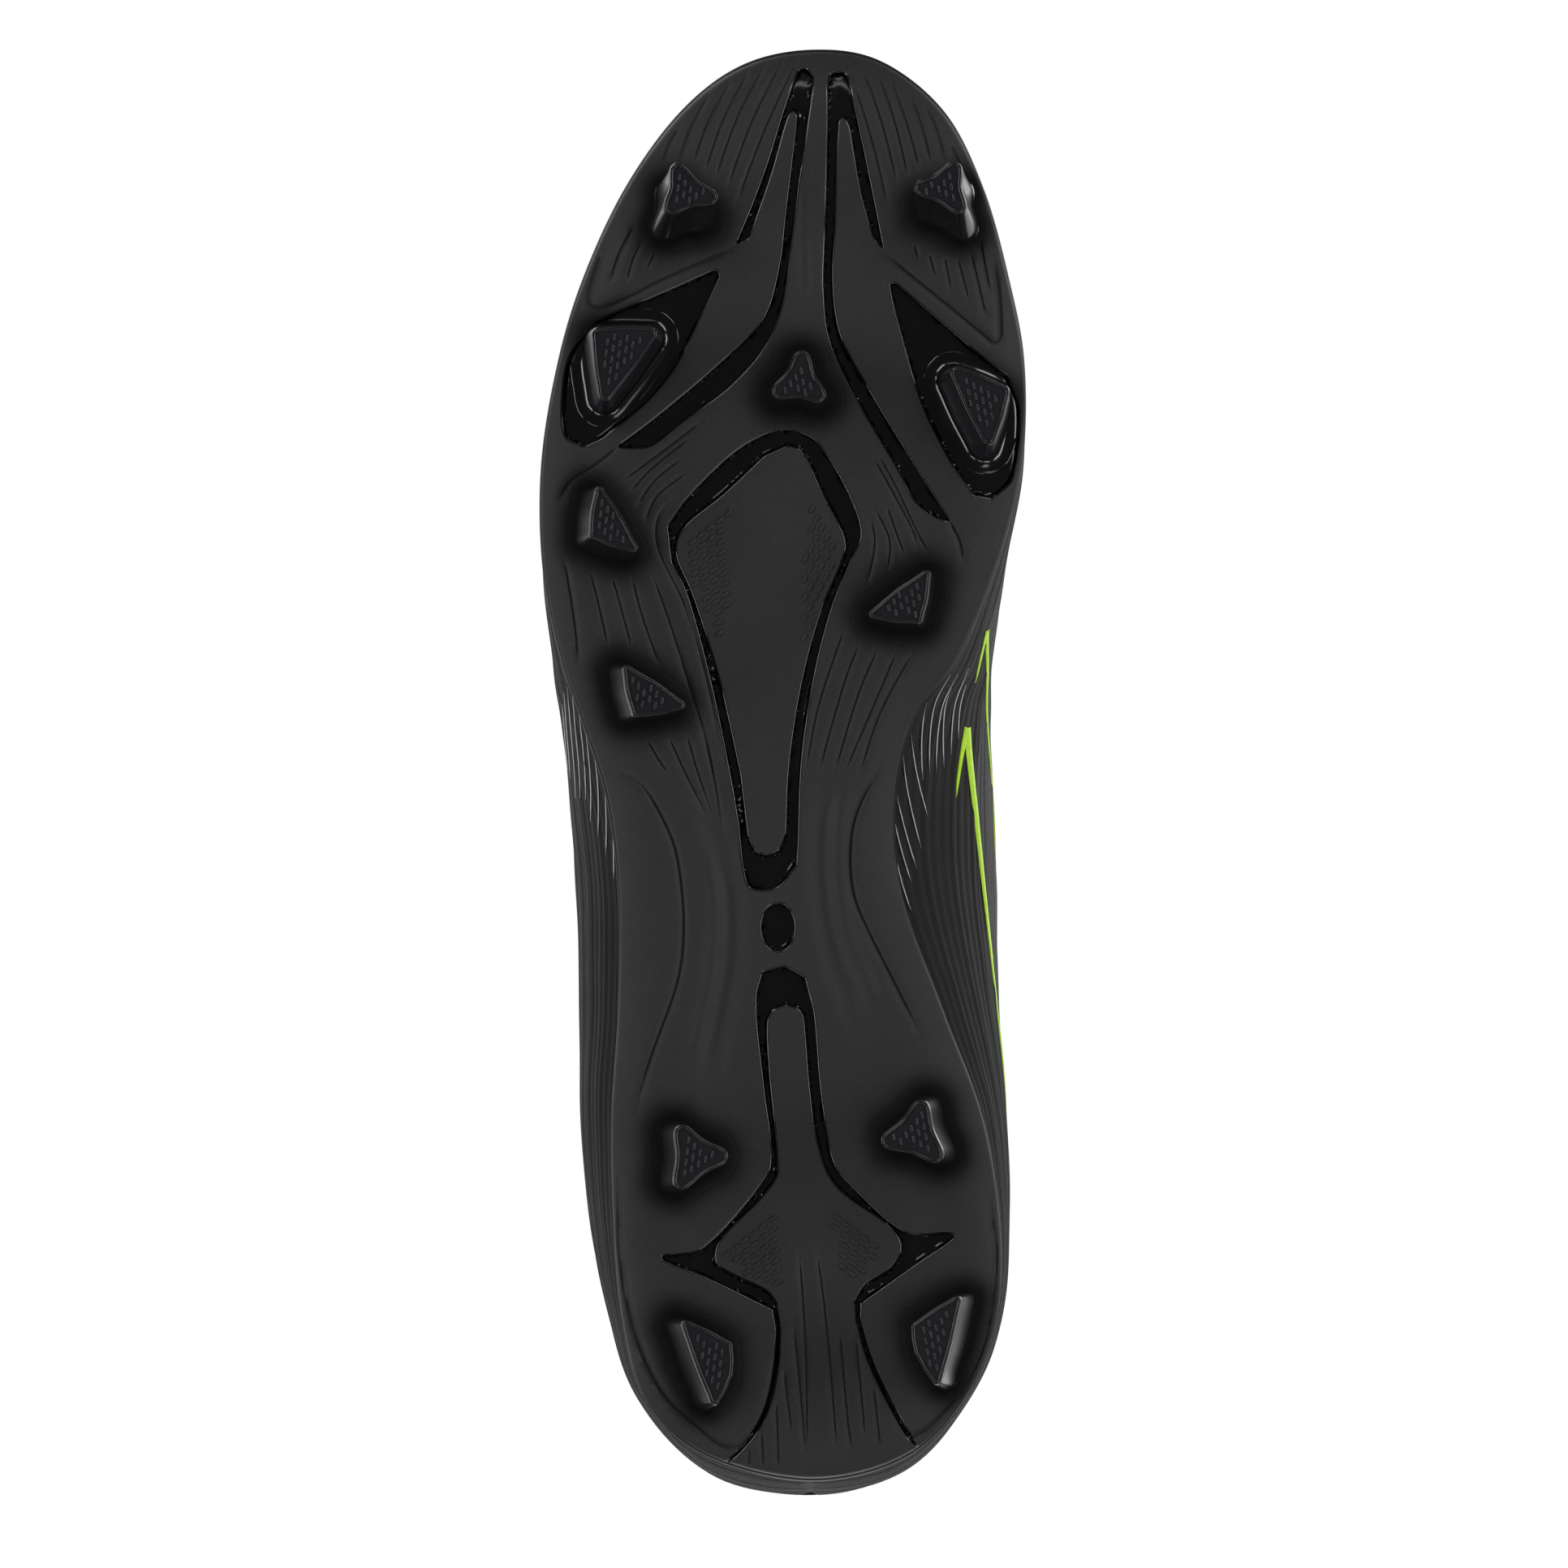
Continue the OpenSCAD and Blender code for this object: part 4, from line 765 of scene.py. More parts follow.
def triangulate(outer, holes, offsets, lines=(), pitch=0.8, region=None):
    """Triangles of the area inside outer and outside holes, dense along outlines and lines."""
    loops = [resample(q, 0.5) for q in [outer] + list(holes)]
    rows, strips = [], []
    for q in loops:
        n = normals(q)
        for off in offsets:
            for sign in (-1, 1):
                r = q + sign * n * off
                rows.append(r[line_distance(r, q, off + 0.1, closed=True)[0] > 0.96 * off])
    for q, _, wide in lines:
        r = resample(q, 0.6, closed=False)
        n = normals(r, closed=False)
        for off in (0, -0.7 * wide, 0.7 * wide, -1.5 * wide, 1.5 * wide):
            strips.append(r + n * off)
    fixed = np.vstack(loops)
    fine = thin_out(rows, 0.05) if rows else np.zeros((0, 2))
    if strips:
        more = clear_of(thin_out(strips, 0.17), np.vstack([fixed, fine]), 0.3)
        fine = np.vstack([fine, more])
    # the open field gets an even triangular pattern
    low, high = outer.min(0), outer.max(0)
    x, y = np.meshgrid(np.arange(low[0], high[0], pitch), np.arange(low[1], high[1], pitch * 0.87))
    x = x + (np.arange(len(x)) % 2)[:, None] * pitch / 2
    field = np.column_stack([x.ravel(), y.ravel()])
    field = clear_of(field, np.vstack([fixed, fine]), 0.45)
    free = np.vstack([fine, field])
    keep = inside(free, outer) & ~within(free, holes)
    if region is not None:
        keep &= region(free)
    points = np.vstack([fixed, free[keep]])
    edges, start = [], 0
    for q in loops:
        n = len(q)
        edges += [(start + i, start + (i + 1) % n) for i in range(n)]
        start += n
    result = delaunay_2d_cdt([Vector(p) for p in points.tolist()], edges, [], 0, 1e-5, False)
    p = np.array([tuple(v) for v in result[0]])
    f = np.array([t for t in result[2] if len(t) == 3])
    centre = p[f].mean(1)
    f = f[inside(centre, outer) & ~within(centre, holes)]
    a, b, c = p[f[:, 0]], p[f[:, 1]], p[f[:, 2]]
    area = np.cross(b - a, c - a)
    f = f[np.abs(area) > 1e-7]
    area = area[np.abs(area) > 1e-7]
    f[area < 0] = f[area < 0][:, ::-1]
    used = np.unique(f)
    new = np.full(len(p), -1)
    new[used] = np.arange(len(used))
    return p[used], new[f]


def border_edges(f):
    """Edges that only one triangle uses."""
    e = np.vstack([f[:, [0, 1]], f[:, [1, 2]], f[:, [2, 0]]])
    key = np.sort(e, 1)
    key = key[:, 0] * 10000000 + key[:, 1]
    _, index, count = np.unique(key, return_index=True, return_counts=True)
    return e[index[count == 1]]


def capsule(centre, along, normal, half_long, half_wide, high, n=10):
    """Low pill-shaped bump: points and faces."""
    along = along / np.linalg.norm(along)
    normal = normal / np.linalg.norm(normal)
    across = np.cross(normal, along)
    a = np.linspace(0, FULL_TURN, n, endpoint=False)
    rows = []
    for share, lift in ((1.0, -0.35), (0.96, 0.45), (0.6, 0.9)):
        c, s = np.cos(a), np.sin(a)
        x = (half_long - half_wide) * np.sign(c) * (np.abs(c) > 0.2) + half_wide * c * share
        rows.append(centre + np.outer(x, along) + np.outer(half_wide * s * share, across)
                    + normal * high * lift)
    points = np.vstack(rows + [centre[None] + normal * high])
    ring = 2 * n + np.arange(n)
    top = np.column_stack([np.full(n, 3 * n), ring, np.roll(ring, -1)])
    return points, [grid_faces(3, n, loop_cols=True), top]


def cluster(outline, angle, pitch):
    """Staggered rows of short dashes inside an outline: centres and direction."""
    q = np.array(outline, float)
    c, s = math.cos(math.radians(angle)), math.sin(math.radians(angle))
    turn = np.array([[c, s], [-s, c]])
    r = q @ turn.T
    out = []
    for j, y in enumerate(np.arange(r[:, 1].min(), r[:, 1].max(), pitch[1])):
        for x in np.arange(r[:, 0].min() + (j % 2) * pitch[0] / 2, r[:, 0].max(), pitch[0]):
            out.append([x, y])
    p = np.array(out) @ turn
    return p[inside(p, q)], np.array([c, s, 0])


def dash(heap, place, way, long, wide):
    """Adds one raised dash that points down, and returns its number of faces."""
    points, faces = capsule(np.array(place), way, np.array([0, 0, -1.0]), long / 2, wide, wide)
    heap.add(points, faces)
    return sum(len(g) for g in faces)


CLUSTERS = {
    "forefoot_island": [([(-10.6, -53.6), (-19.4, -46.4), (-17.4, -36), (-11.6, -24)], -38),
                        ([(4.6, -54), (10.6, -45), (8, -35), (3.6, -23)], -62)],
    "heel_island": [([(-0.6, 84.4), (-11.4, 93), (-11.8, 96.4), (-1, 101.6)], -38),
                    ([(8.6, 84.4), (19.6, 92.6), (19, 96), (12.4, 101.6)], 38)]}


def matte_part(name, outer, holes=()):
    """Matte part of the sole: relief below, glossy rounded edges and walls."""
    edges = list(holes) or [outer]
    p, f = triangulate(outer, holes, (0.08, 0.18, 0.3, 0.45, CHANNEL_ROUND, 0.9), GROOVES)
    z, edge, e = skin_height(p, edges)
    low = np.column_stack([p, z])
    rim = border_edges(f)
    n = len(p)
    top = np.column_stack([p, np.maximum(z + 0.1, sole_height(p[:, 1], e) + SKIN)])
    heap = Heap()
    wall = np.column_stack([rim[:, 1], rim[:, 0], rim[:, 0] + n, rim[:, 1] + n])
    heap.add(np.vstack([low, top]), [f[:, ::-1], wall])
    shine = (edge[f].mean(1) < 0.42) & (e[f].mean(1) > 1)
    marks = [shine.astype(int), (e[rim].mean(1) > 1).astype(int)]
    for outline, angle in CLUSTERS.get(name, []):
        at, way = cluster(outline, angle, (2.3, 1.75))
        height, _, _ = skin_height(at, edges)
        for (x, y), h in zip(at, height):
            marks.append(np.zeros(dash(heap, [x, y, h], way, 1.7, 0.34), int))
    # tint: painted shade round the studs
    heap.piece(name + "_relief", [MATTE, BEVEL], mat_index=np.concatenate(marks),
               tint=painted_stud_shade(np.vstack(heap.points)[:, :2]), slot="sole_matte", replaces=[name],
               sharp=55)


def glossy_plate():
    """Glossy base of the sole: hollow floors of the channels, and the edge of the sole."""
    islands = [KITE_INNER, HEEL_PLUG]

    def shown(p):
        """Points that are needed: a coarse field where the matte parts hide the plate."""
        near = within(p, HOLES)
        for q in islands:
            d = line_distance(p, q, 1.2, closed=True)[0]
            near &= ~(inside(p, q) & (d > 1))
        coarse = (np.floor(p[:, 0] / 0.8).astype(int) % 6 == 0) & (
            np.floor(p[:, 1] / 0.7).astype(int) % 6 == 0)
        return near | coarse | (rim_inset(p) < 1.2)

    outlines = HOLES + islands
    lines = [(np.vstack([q, q[:1]]), 0, 0.9) for q in outlines]
    p, f = triangulate(RIM, [], (0.3, 0.8), lines, 0.7, shown)
    e = rim_inset(p)
    base = sole_height(p[:, 1], e)
    wall = nearest(p, outlines, 3)
    hollow = CHANNEL_DEPTH + CHANNEL_BELLY * (1 - np.exp(-(wall / 1.8) ** 2))
    open_part = within(p, HOLES) & ~within(p, islands)
    z = base + np.where(open_part, hollow, SKIN + 0.02)
    z = np.where(e < 0.9, base + SKIN, z)
    rim = border_edges(f)
    heap = Heap()
    heap.add(np.column_stack([p, z]), f[:, ::-1])
    # bulging side wall, in rings that start at the rim
    side = np.unique(rim)
    new = np.full(len(p), -1)
    new[side] = np.arange(len(side))
    q = p[side]
    mid = RIM.mean(0)
    out = (q - mid) / np.linalg.norm(q - mid, axis=1, keepdims=True)
    rows = []
    for lift, bulge in ((SKIN, 0), (SKIN + 0.35, 0.4), (2.7, 0.6), (3.5, 0.35), (SOLE, -0.2),
                        (SOLE + 0.05, -2.6)):
        rows.append(np.column_stack([q + out * bulge, sole_height(q[:, 1], 0) + lift]))
    m = len(side)
    faces = []
    for k in range(len(rows) - 1):
        a, b = new[rim[:, 0]] + k * m, new[rim[:, 1]] + k * m
        faces.append(np.column_stack([b, a, a + m, b + m]))
    heap.add(np.vstack(rows), faces)
    marks = [np.zeros(len(f), int)] + [np.ones(len(g), int) for g in faces]
    heap.piece("outsole_plate_gloss", [GLOSS, SIDE], mat_index=np.concatenate(marks),
               slot="sole_gloss", replaces=["outsole_plate"], sharp=55)


def clip_to_rim(q):
    """Outline cut back to the rim of the sole."""
    q = resample(q, 1.0)
    out = ~inside(q, RIM)
    for i in np.nonzero(out)[0]:
        j = np.argmin(np.linalg.norm(RIM - q[i], axis=1))
        q[i] = RIM[j] * 0.9995 + RIM.mean(0) * 0.0005
    return q


matte_part("outsole_skin", RIM, HOLES)
matte_part("forefoot_island", KITE_INNER)
HEEL_PLUG = clip_to_rim(HEEL_PLUG)
matte_part("heel_island", HEEL_PLUG)
glossy_plate()


# ---------------------------------------------------------------- studs
def ring_stack(rings):
    """Points and quads of a stack of equal rings."""
    return np.vstack(rings), grid_faces(len(rings), len(rings[0]), loop_cols=True)


def flat_ring(q, z):
    """Points of an outline at one height, or each at its own."""
    return np.column_stack([q, np.broadcast_to(z, len(q))])


RIM_INSIDE = RIM - OUTWARD * 0.5


def held(q):
    """Outline whose points outside the rim are pulled back to it."""
    q = q.copy()
    for i in np.nonzero(~inside(q, RIM_INSIDE))[0]:
        q[i] = RIM_INSIDE[np.argmin(np.linalg.norm(RIM_INSIDE - q[i], axis=1))]
    return q


def stud_body(s, flip):
    """Flared glossy body of a stud, which runs out into the sole."""
    name, foot = s[0], s[4]
    seam = foot + TIP
    in_pocket = name.startswith("ball")
    spread = BODY_FLARE + (FILLET_IN_POCKET if in_pocket else FILLET)
    outer = held(stud_outline(s, spread, 1.0))
    if in_pocket:
        ground = sole_height(outer[:, 1], rim_inset(outer)) + CHANNEL_DEPTH + 0.05
    else:
        ground = skin_height(outer, [])[0]
    rings = [flat_ring(stud_outline(s, -0.14, 0), seam + 0.02),
             flat_ring(stud_outline(s, 0.02, 0), seam + 0.16)]
    top = seam + 0.2
    for t in np.linspace(0.06, 1, 9):
        rings.append(flat_ring(stud_outline(s, BODY_FLARE * t ** 1.25, t),
                               top + (ground - FILLET_HIGH - top) * t))
    # fillet: a quarter round that opens outwards
    for a in np.linspace(0.08, 1, 12) * math.pi / 2:
        grow = BODY_FLARE + (spread - BODY_FLARE) * (1 - math.cos(a))
        rings.append(flat_ring(held(stud_outline(s, grow, 1.0)),
                               ground - FILLET_HIGH + FILLET_HIGH * math.sin(a)))
    # outer edge: a soft roll at the ball, sunk into the sole elsewhere
    roll = 0.7 if in_pocket else 0.1
    for a in np.array([0.25, 0.5, 0.75, 1]) * math.pi / 2:
        rings.append(flat_ring(held(stud_outline(s, spread + roll * math.sin(a), 1.0)),
                               ground + 0.5 * (1 - math.cos(a))))
    points, faces = ring_stack(rings)
    heap = Heap()
    heap.add(points, faces)
    # glossy sides and a matte run-out into the sole, whose tint is painted shade round the stud; at
    # the ball the run-out is glossy as well
    row = np.arange(len(faces)) // len(outer)
    heap.piece("stud_" + name + "_body", [TIP_FACE, GLOSS] if in_pocket else [STUD, MATTE],
               mat_index=(row > 13).astype(int), slot="sole_gloss", tint=painted_stud_shade(points[:, :2]),
               replaces=["stud_" + name], sharp=60, flip=flip)


def stud_tip(s, flip):
    """Tip of a stud: side, rounded rim, and a recessed face with raised dashes."""
    name, corners, r, foot = s[0], s[1], s[2], s[4]
    seam = foot + TIP
    profile = [(-0.2, seam - 0.02), (0, seam - 0.2), (0, foot + 0.55), (-0.08, foot + 0.22),
               (-0.26, foot + 0.05), (-0.45, foot), (-0.62, foot + 0.04), (-0.75, foot + 0.18),
               (-0.85, foot + 0.36)]
    points, faces = ring_stack([flat_ring(stud_outline(s, grow, 0), z) for grow, z in profile])
    n = len(points) // len(profile)
    loop = len(points) - n + np.arange(n)
    fan = np.column_stack([np.full(n, len(points)), np.roll(loop, -1), loop])
    centre = np.array([*stud_outline(s, -0.85, 0).mean(0), foot + 0.34])
    heap = Heap()
    heap.add(np.vstack([points, centre]), [faces, fan])
    marks = [(np.arange(len(faces)) // n < 7).astype(int), np.zeros(len(fan), int)]
    face = stud_outline(s, -min(0.85, r - 0.1), 0)
    shrunk = centre[:2] + (face - centre[:2]) * 0.8
    at, way = cluster(shrunk, 80 if corners[0][0] > 0 else 97, (2.2, 1.25))
    for x, y in at:
        marks.append(np.zeros(dash(heap, [x, y, foot + 0.36], way, 1.55, 0.3), int))
    heap.piece("tip_" + name + "_pad", [TIP_FACE, STUD], mat_index=np.concatenate(marks),
               slot="stud_tip", replaces=["tip_" + name], sharp=60, flip=flip)


for one in STUDS:
    first, second, third = np.array(one[1][:3], float)
    counter = np.cross(second - first, third - second) > 0
    stud_body(one, not counter)
    stud_tip(one, counter)


# ---------------------------------------------------------------- upper
def eased(x):
    """Smooth step from 0 to 1."""
    x = np.clip(x, 0, 1)
    return x * x * (3 - 2 * x)


RIBS = 45
EYELETS = [4.4, 5.6, 6.8, 8, 9.2, 10.5]
EYELET_LEVEL = 0.91
HOLES_UV = [(side * u % COUNT, EYELET_LEVEL) for u in EYELETS for side in (1, -1)]


def mm_per_step(u, v):
    """Size in mm of one unit of u and of v on the surface."""
    du = np.linalg.norm(surf(u + 0.05, v) - surf(u - 0.05, v), axis=-1) / 0.1
    dv = np.linalg.norm(surf(u, v + 0.01) - surf(u, v - 0.01), axis=-1) / 0.02
    return du, dv


# lime piping and pale strokes on the textile: points in (u, v), width at start and end
LIME_LINES = [
    ([(28.38, 0.113), (28.1, 0.121), (27.65, 0.138)], 1.5, 0.5),
    ([(28.38, 0.113), (27.78, 0.215), (26.98, 0.27), (26.1, 0.34), (25.2, 0.42)], 1.6, 0.5),
    ([(26.85, 0.158), (26.48, 0.148), (26.0, 0.138)], 2.0, 0.6),
    ([(26.85, 0.158), (26.12, 0.196), (25.45, 0.226), (24.95, 0.244), (24.5, 0.257),
      (24.12, 0.27), (23.0, 0.33), (22.0, 0.42)], 2.3, 0.6)]
WHITE_LINES = [
    [(8.4, 0.033), (9.95, 0.166)], [(8.45, 0.008), (9.95, 0.131)], [(8.83, 0.01), (9.98, 0.1)],
    [(9.08, 0.008), (10.23, 0.093)], [(9.4, 0.008), (10.4, 0.068)], [(9.83, 0.01), (10.6, 0.045)],
    [(10.28, 0.01), (10.85, 0.024)], [(8.5, 0.07), (9.7, 0.19)], [(8.7, 0.115), (9.6, 0.215)],
    [(27.8, 0.02), (26.28, 0.068)], [(27.8, 0.045), (26.28, 0.083)],
    [(27.52, 0.055), (26.35, 0.1)], [(27.22, 0.018), (26.2, 0.055)],
    [(26.75, 0.013), (25.78, 0.07)], [(26.58, 0.005), (25.45, 0.055)],
    [(26.1, 0.006), (25.25, 0.042)], [(25.83, 0.004), (25.1, 0.028)],
    [(25.5, 0.003), (24.83, 0.015)], [(27.9, 0.075), (26.5, 0.115)], [(27.6, 0.1), (26.7, 0.13)]]


def grey_thread_and_heel_highlight(u, v):
    """Share of grey thread in the textile on the inner side, and of painted highlight low on the
    heel.
    """
    low = np.interp(u, [21.0, 22.0, 23.0, 24.12, 24.95, 26.12, 26.98, 27.78, 28.38, 29.5, 31.0],
                    [0.5, 0.42, 0.33, 0.27, 0.244, 0.196, 0.235, 0.215, 0.113, 0.16, 0.2])
    high = 0.36 + 0.22 * np.exp(-((u - 25.5) / 2.2) ** 2)
    ends = eased((u - 21.2) / 1.8) * eased((30.6 - u) / 2.2)
    inner = ends * eased((v - low) / 0.012) * eased((high - v) / 0.2) * 0.9
    # painted highlight: the textile low on the heel is made lighter, where grazing light falls
    heel = eased((u - 12) / 4) * eased((24.5 - u) / 4) * eased((v + 0.02) / 0.06)
    return np.maximum(inner, 0.55 * heel * eased((0.42 - v) / 0.35))


def textile():
    """Ribbed textile of the upper."""
    nu, nv = 384, RIBS * 6 + 1
    u, v = np.meshgrid(np.arange(nu) * COUNT / nu, np.linspace(0, 1, nv))
    rib = 0.5 + 0.5 * np.cos(FULL_TURN * v * RIBS)
    # every third rib stands out more
    rib *= 0.7 + 0.3 * np.cos(FULL_TURN * v * RIBS / 3)
    fade = eased(v / 0.03) * eased((1 - v) / 0.02)
    slack = 0.1 * np.sin(u * 5.1) * np.sin(v * 19 + u)
    # back seam: a narrow groove down the middle of the heel
    seam = np.exp(-((u - COUNT / 2) * mm_per_step(u, v)[0] / 0.4) ** 2)
    p = skin_point(u, v, -(RIB_HEIGHT * rib + slack) * fade * (1 - seam) + BACK_SEAM * seam)
    uv = np.stack([u * 64, v * RIBS / 0.3183 / 2], -1)
    faces = grid_faces(nv, nu, loop_cols=True)
    # holes for the lace, hidden under the edges of the eyestay
    keep = np.ones(len(faces), bool)
    mid_u = (u.ravel()[faces[:, 0]] + 0.5 * COUNT / nu) % COUNT
    mid_v = v.ravel()[faces].mean(1)
    for hu, hv in HOLES_UV:
        sx, sy = mm_per_step(hu, hv)
        gap = (mid_u - hu + COUNT / 2) % COUNT - COUNT / 2
        keep &= np.hypot(gap * sx, (mid_v - hv) * sy) > EYELET / 2 + 0.5
    # tint: grey thread on the inner side and painted highlight low on the heel, lighter on the rib
    # crests, none in the back seam
    grey = np.maximum(grey_thread_and_heel_highlight(u, v), 0.05) * (0.25 + 0.75 * rib) * (1 - seam)
    new_piece("upper_textile", p.reshape(-1, 3), [faces[keep]], [TEXTILE],
              slot="upper_textile", replaces=["upper_shell"], uv=uv.reshape(-1, 2),
              tint=grey.ravel(), sharp=0)


def laid_lines(name, lines, mat, low, soft_start):
    """Lines laid on the textile: low is the height of their edges over the surface."""
    heap = Heap()
    for q, start, end in lines:
        place = through(q, 12) if len(q) > 2 else resample(q, 0.02, closed=False)
        centre = surf(place[:, 0], place[:, 1])
        normal = -inward(place[:, 0], place[:, 1])
        along = np.gradient(centre, axis=0)
        along /= np.linalg.norm(along, axis=1, keepdims=True)
        across = np.cross(normal, along)
        t = np.linspace(0, 1, len(place))[:, None]
        ends = np.minimum(1, 6 * (1.02 - t))
        if soft_start:
            ends = ends * np.minimum(1, 0.15 + 3 * t)
        wide = (start + (end - start) * t ** 0.7) / 2 * ends
        rows = [centre + across * wide * s + normal * h for s, h in
                ((-1, low), (-0.85, 0.41), (0, 0.46), (0.85, 0.41), (1, low))]
        heap.add(np.stack(rows, 1), grid_faces(len(place), 5))
    heap.piece(name, [mat], slot="trim_film", sharp=60)


def band_low(u):
    """Lower edge of the eyestay."""
    a = np.minimum(u % COUNT, COUNT - u % COUNT)
    return 0.9 - 0.1 * eased((a - 2.2) / 1.3)


def eyestay():
    """Band with the eyelets, cut out flat: su and sv are mm for a station and for a level."""
    end = EYESTAY_END
    su, sv = 8.0, 95.0
    top = [(a, 1.0) for a in np.linspace(-end, end, 221)]
    side = [(end, 1.0 - 0.2 * k / 12) for k in range(12)]
    bottom = [(a, float(band_low(a))) for a in np.linspace(end, -end, 221)]
    other = [(-end, 0.8 + 0.2 * k / 12) for k in range(12)]
    outline = np.array(top[:-1] + side + bottom[:-1] + other) * [su, sv]
    holes = []
    for hu, hv in HOLES_UV:
        a = (hu + COUNT / 2) % COUNT - COUNT / 2
        sx, sy = mm_per_step(hu, hv)
        t = np.linspace(0, FULL_TURN, 33)[:-1]
        holes.append(np.column_stack([(a + EYELET / 2 * np.cos(t) / sx) * su,
                                      (hv + EYELET / 2 * np.sin(t) / sy) * sv]))
    p, f = triangulate(outline, holes, (0.25, 0.6), (), 1.1)
    u, v = p[:, 0] / su, p[:, 1] / sv
    border = nearest(p, [outline], 3)
    ring = nearest(p, holes, 3)
    seam = np.exp(-((border - 2.1) / 0.35) ** 2)
    depth = (-EYESTAY + rounding(border, 0.55) + rounding(ring, 0.45)
             - 0.28 * np.exp(-((ring - 1.0) / 0.6) ** 2) + 0.22 * seam)
    outer = skin_point(u, v, depth)
    edge = border_edges(f)
    n = len(p)
    deep = np.where(ring < 0.01, 2.4, 0.12)
    lower = skin_point(u, v, deep)
    wall = np.column_stack([edge[:, 1], edge[:, 0], edge[:, 0] + n, edge[:, 1] + n])
    new_piece("eyestay_film", np.vstack([outer, lower]), [f, wall], [TRIM], slot="trim_film",
              replaces=["eyestay"], uv=np.vstack([p, p]) * 0.5, sharp=50)
    # stitching along the lower edge and the end of the band
    heap = Heap()
    path = [(a, float(band_low(a)) + 0.021) for a in np.linspace(-end + 0.25, end - 0.25, 900)]
    stitches(heap, np.array(path), 0.14 - EYESTAY)
    heap.piece("eyestay_stitching", [THREAD], slot="trim_film", sharp=0)
    # punched rings, pressed into the film
    heap = Heap()
    for hu, hv in HOLES_UV:
        sx, sy = mm_per_step(hu, hv)
        t = np.linspace(0, FULL_TURN, 40, endpoint=False)
        rows = []
        for r, d in ((2.05, 0.8), (2.05, -0.95), (2.2, -1.22), (2.5, -1.34), (2.85, -1.28),
                     (3.1, -1.0)):
            rows.append(skin_point(hu + r * np.cos(t) / sx, hv + r * np.sin(t) / sy,
                                   np.full(len(t), d)))
        heap.add(np.vstack(rows), grid_faces(len(rows), 40, loop_cols=True))
    heap.piece("eyestay_rings", [STUD], slot="trim_film", sharp=0)


def stitches(heap, path, depth, long=1.9, gap=0.9, wide=0.3):
    """Short raised threads along a path in (u, v)."""
    u, v = path[:, 0] % COUNT, path[:, 1]
    at = skin_point(u, v, np.full(len(u), depth))
    step = np.concatenate([[0], np.cumsum(np.linalg.norm(np.diff(at, axis=0), axis=1))])
    for s in np.arange(gap, step[-1] - long, long + gap):
        a, b = (np.array([np.interp(x, step, at[:, k]) for k in range(3)]) for x in (s, s + long))
        k = int(np.searchsorted(step, s + long / 2))
        n = -inward(u[k], v[k])
        heap.add(*capsule((a + b) / 2, b - a, n, long / 2, wide, 0.22, 8))


def slab(name, u, v, outer, inner, mat, slot, replaces):
    """Closed layer of the upper between two depths; u and v are grids."""
    return closed_sheet(name, skin_point(u, v, outer), skin_point(u, v, inner), mat,
                        np.stack([u * 30, v * 120], -1), slot=slot, replaces=replaces, sharp=50)


def spaced(a, b, n, fine=0.02):
    """n values from a to b, with extra ones close to both ends."""
    mid = np.linspace(a + fine, b - fine, n - 6)
    return np.concatenate([[a, a + 0.15 * fine, a + 0.45 * fine], mid,
                           [b - 0.45 * fine, b - 0.15 * fine, b]])


def lining(name, node_name, start, end):
    """Lining between two stations, quilted where it is padded."""
    u, v = np.meshgrid(np.linspace(start, end, 180), np.linspace(0, 1, 120))
    base = lining_depth(u, v)
    soft = eased((base - STIFF) / PADDING)
    quilt = 0.55 * soft * np.abs(np.sin(math.pi * (v - 0.5) * 9)) ** 0.6
    edge = 0.5 * eased((v - 0.985) / 0.015)
    slab(name, u, v, base + 0.02, base + LINING + quilt - edge, CLOTH, "lining_cloth",
         [node_name])


def collar_foam():
    """Foam between shell and lining round the heel and ankle, thin at its border."""
    u, v = np.meshgrid(spaced(COLLAR_START, COLLAR_END, 90), spaced(0.35, 0.995, 50))
    border = np.minimum(eased((v - 0.35) / 0.06), eased((0.995 - v) / 0.02))
    outer = np.full(u.shape, SHELL + TOUCH)
    inner = np.maximum(lining_depth(u, v) - TOUCH, outer + 0.06)
    foam = slab("collar_padding", u, v, outer, outer + (inner - outer) * (0.3 + 0.7 * border),
                FOAM, "foam", ["collar_foam"])


def collar_roll():
    """Rolled edge of the collar."""
    u, t = np.meshgrid(np.linspace(COLLAR_START, COLLAR_END, 200),
                       np.linspace(-0.25, math.pi + 0.25, 22))
    ends = eased(np.minimum(u - COLLAR_START, COLLAR_END - u) / 0.25)
    low, high = -0.42, lining_depth(u, 1.0) + LINING + 0.5
    share = (1 - np.cos(t)) / 2
    v = 0.992 + (0.008 + 0.027 * ends) * np.sin(t)
    new_piece("collar_edge_roll", skin_point(u, v, low + (high - low) * share).reshape(-1, 3),
              [grid_faces(*u.shape)], [TRIM], slot="trim_film", replaces=["collar_binding"],
              uv=np.stack([u * 20, t * 2], -1).reshape(-1, 2), sharp=0)


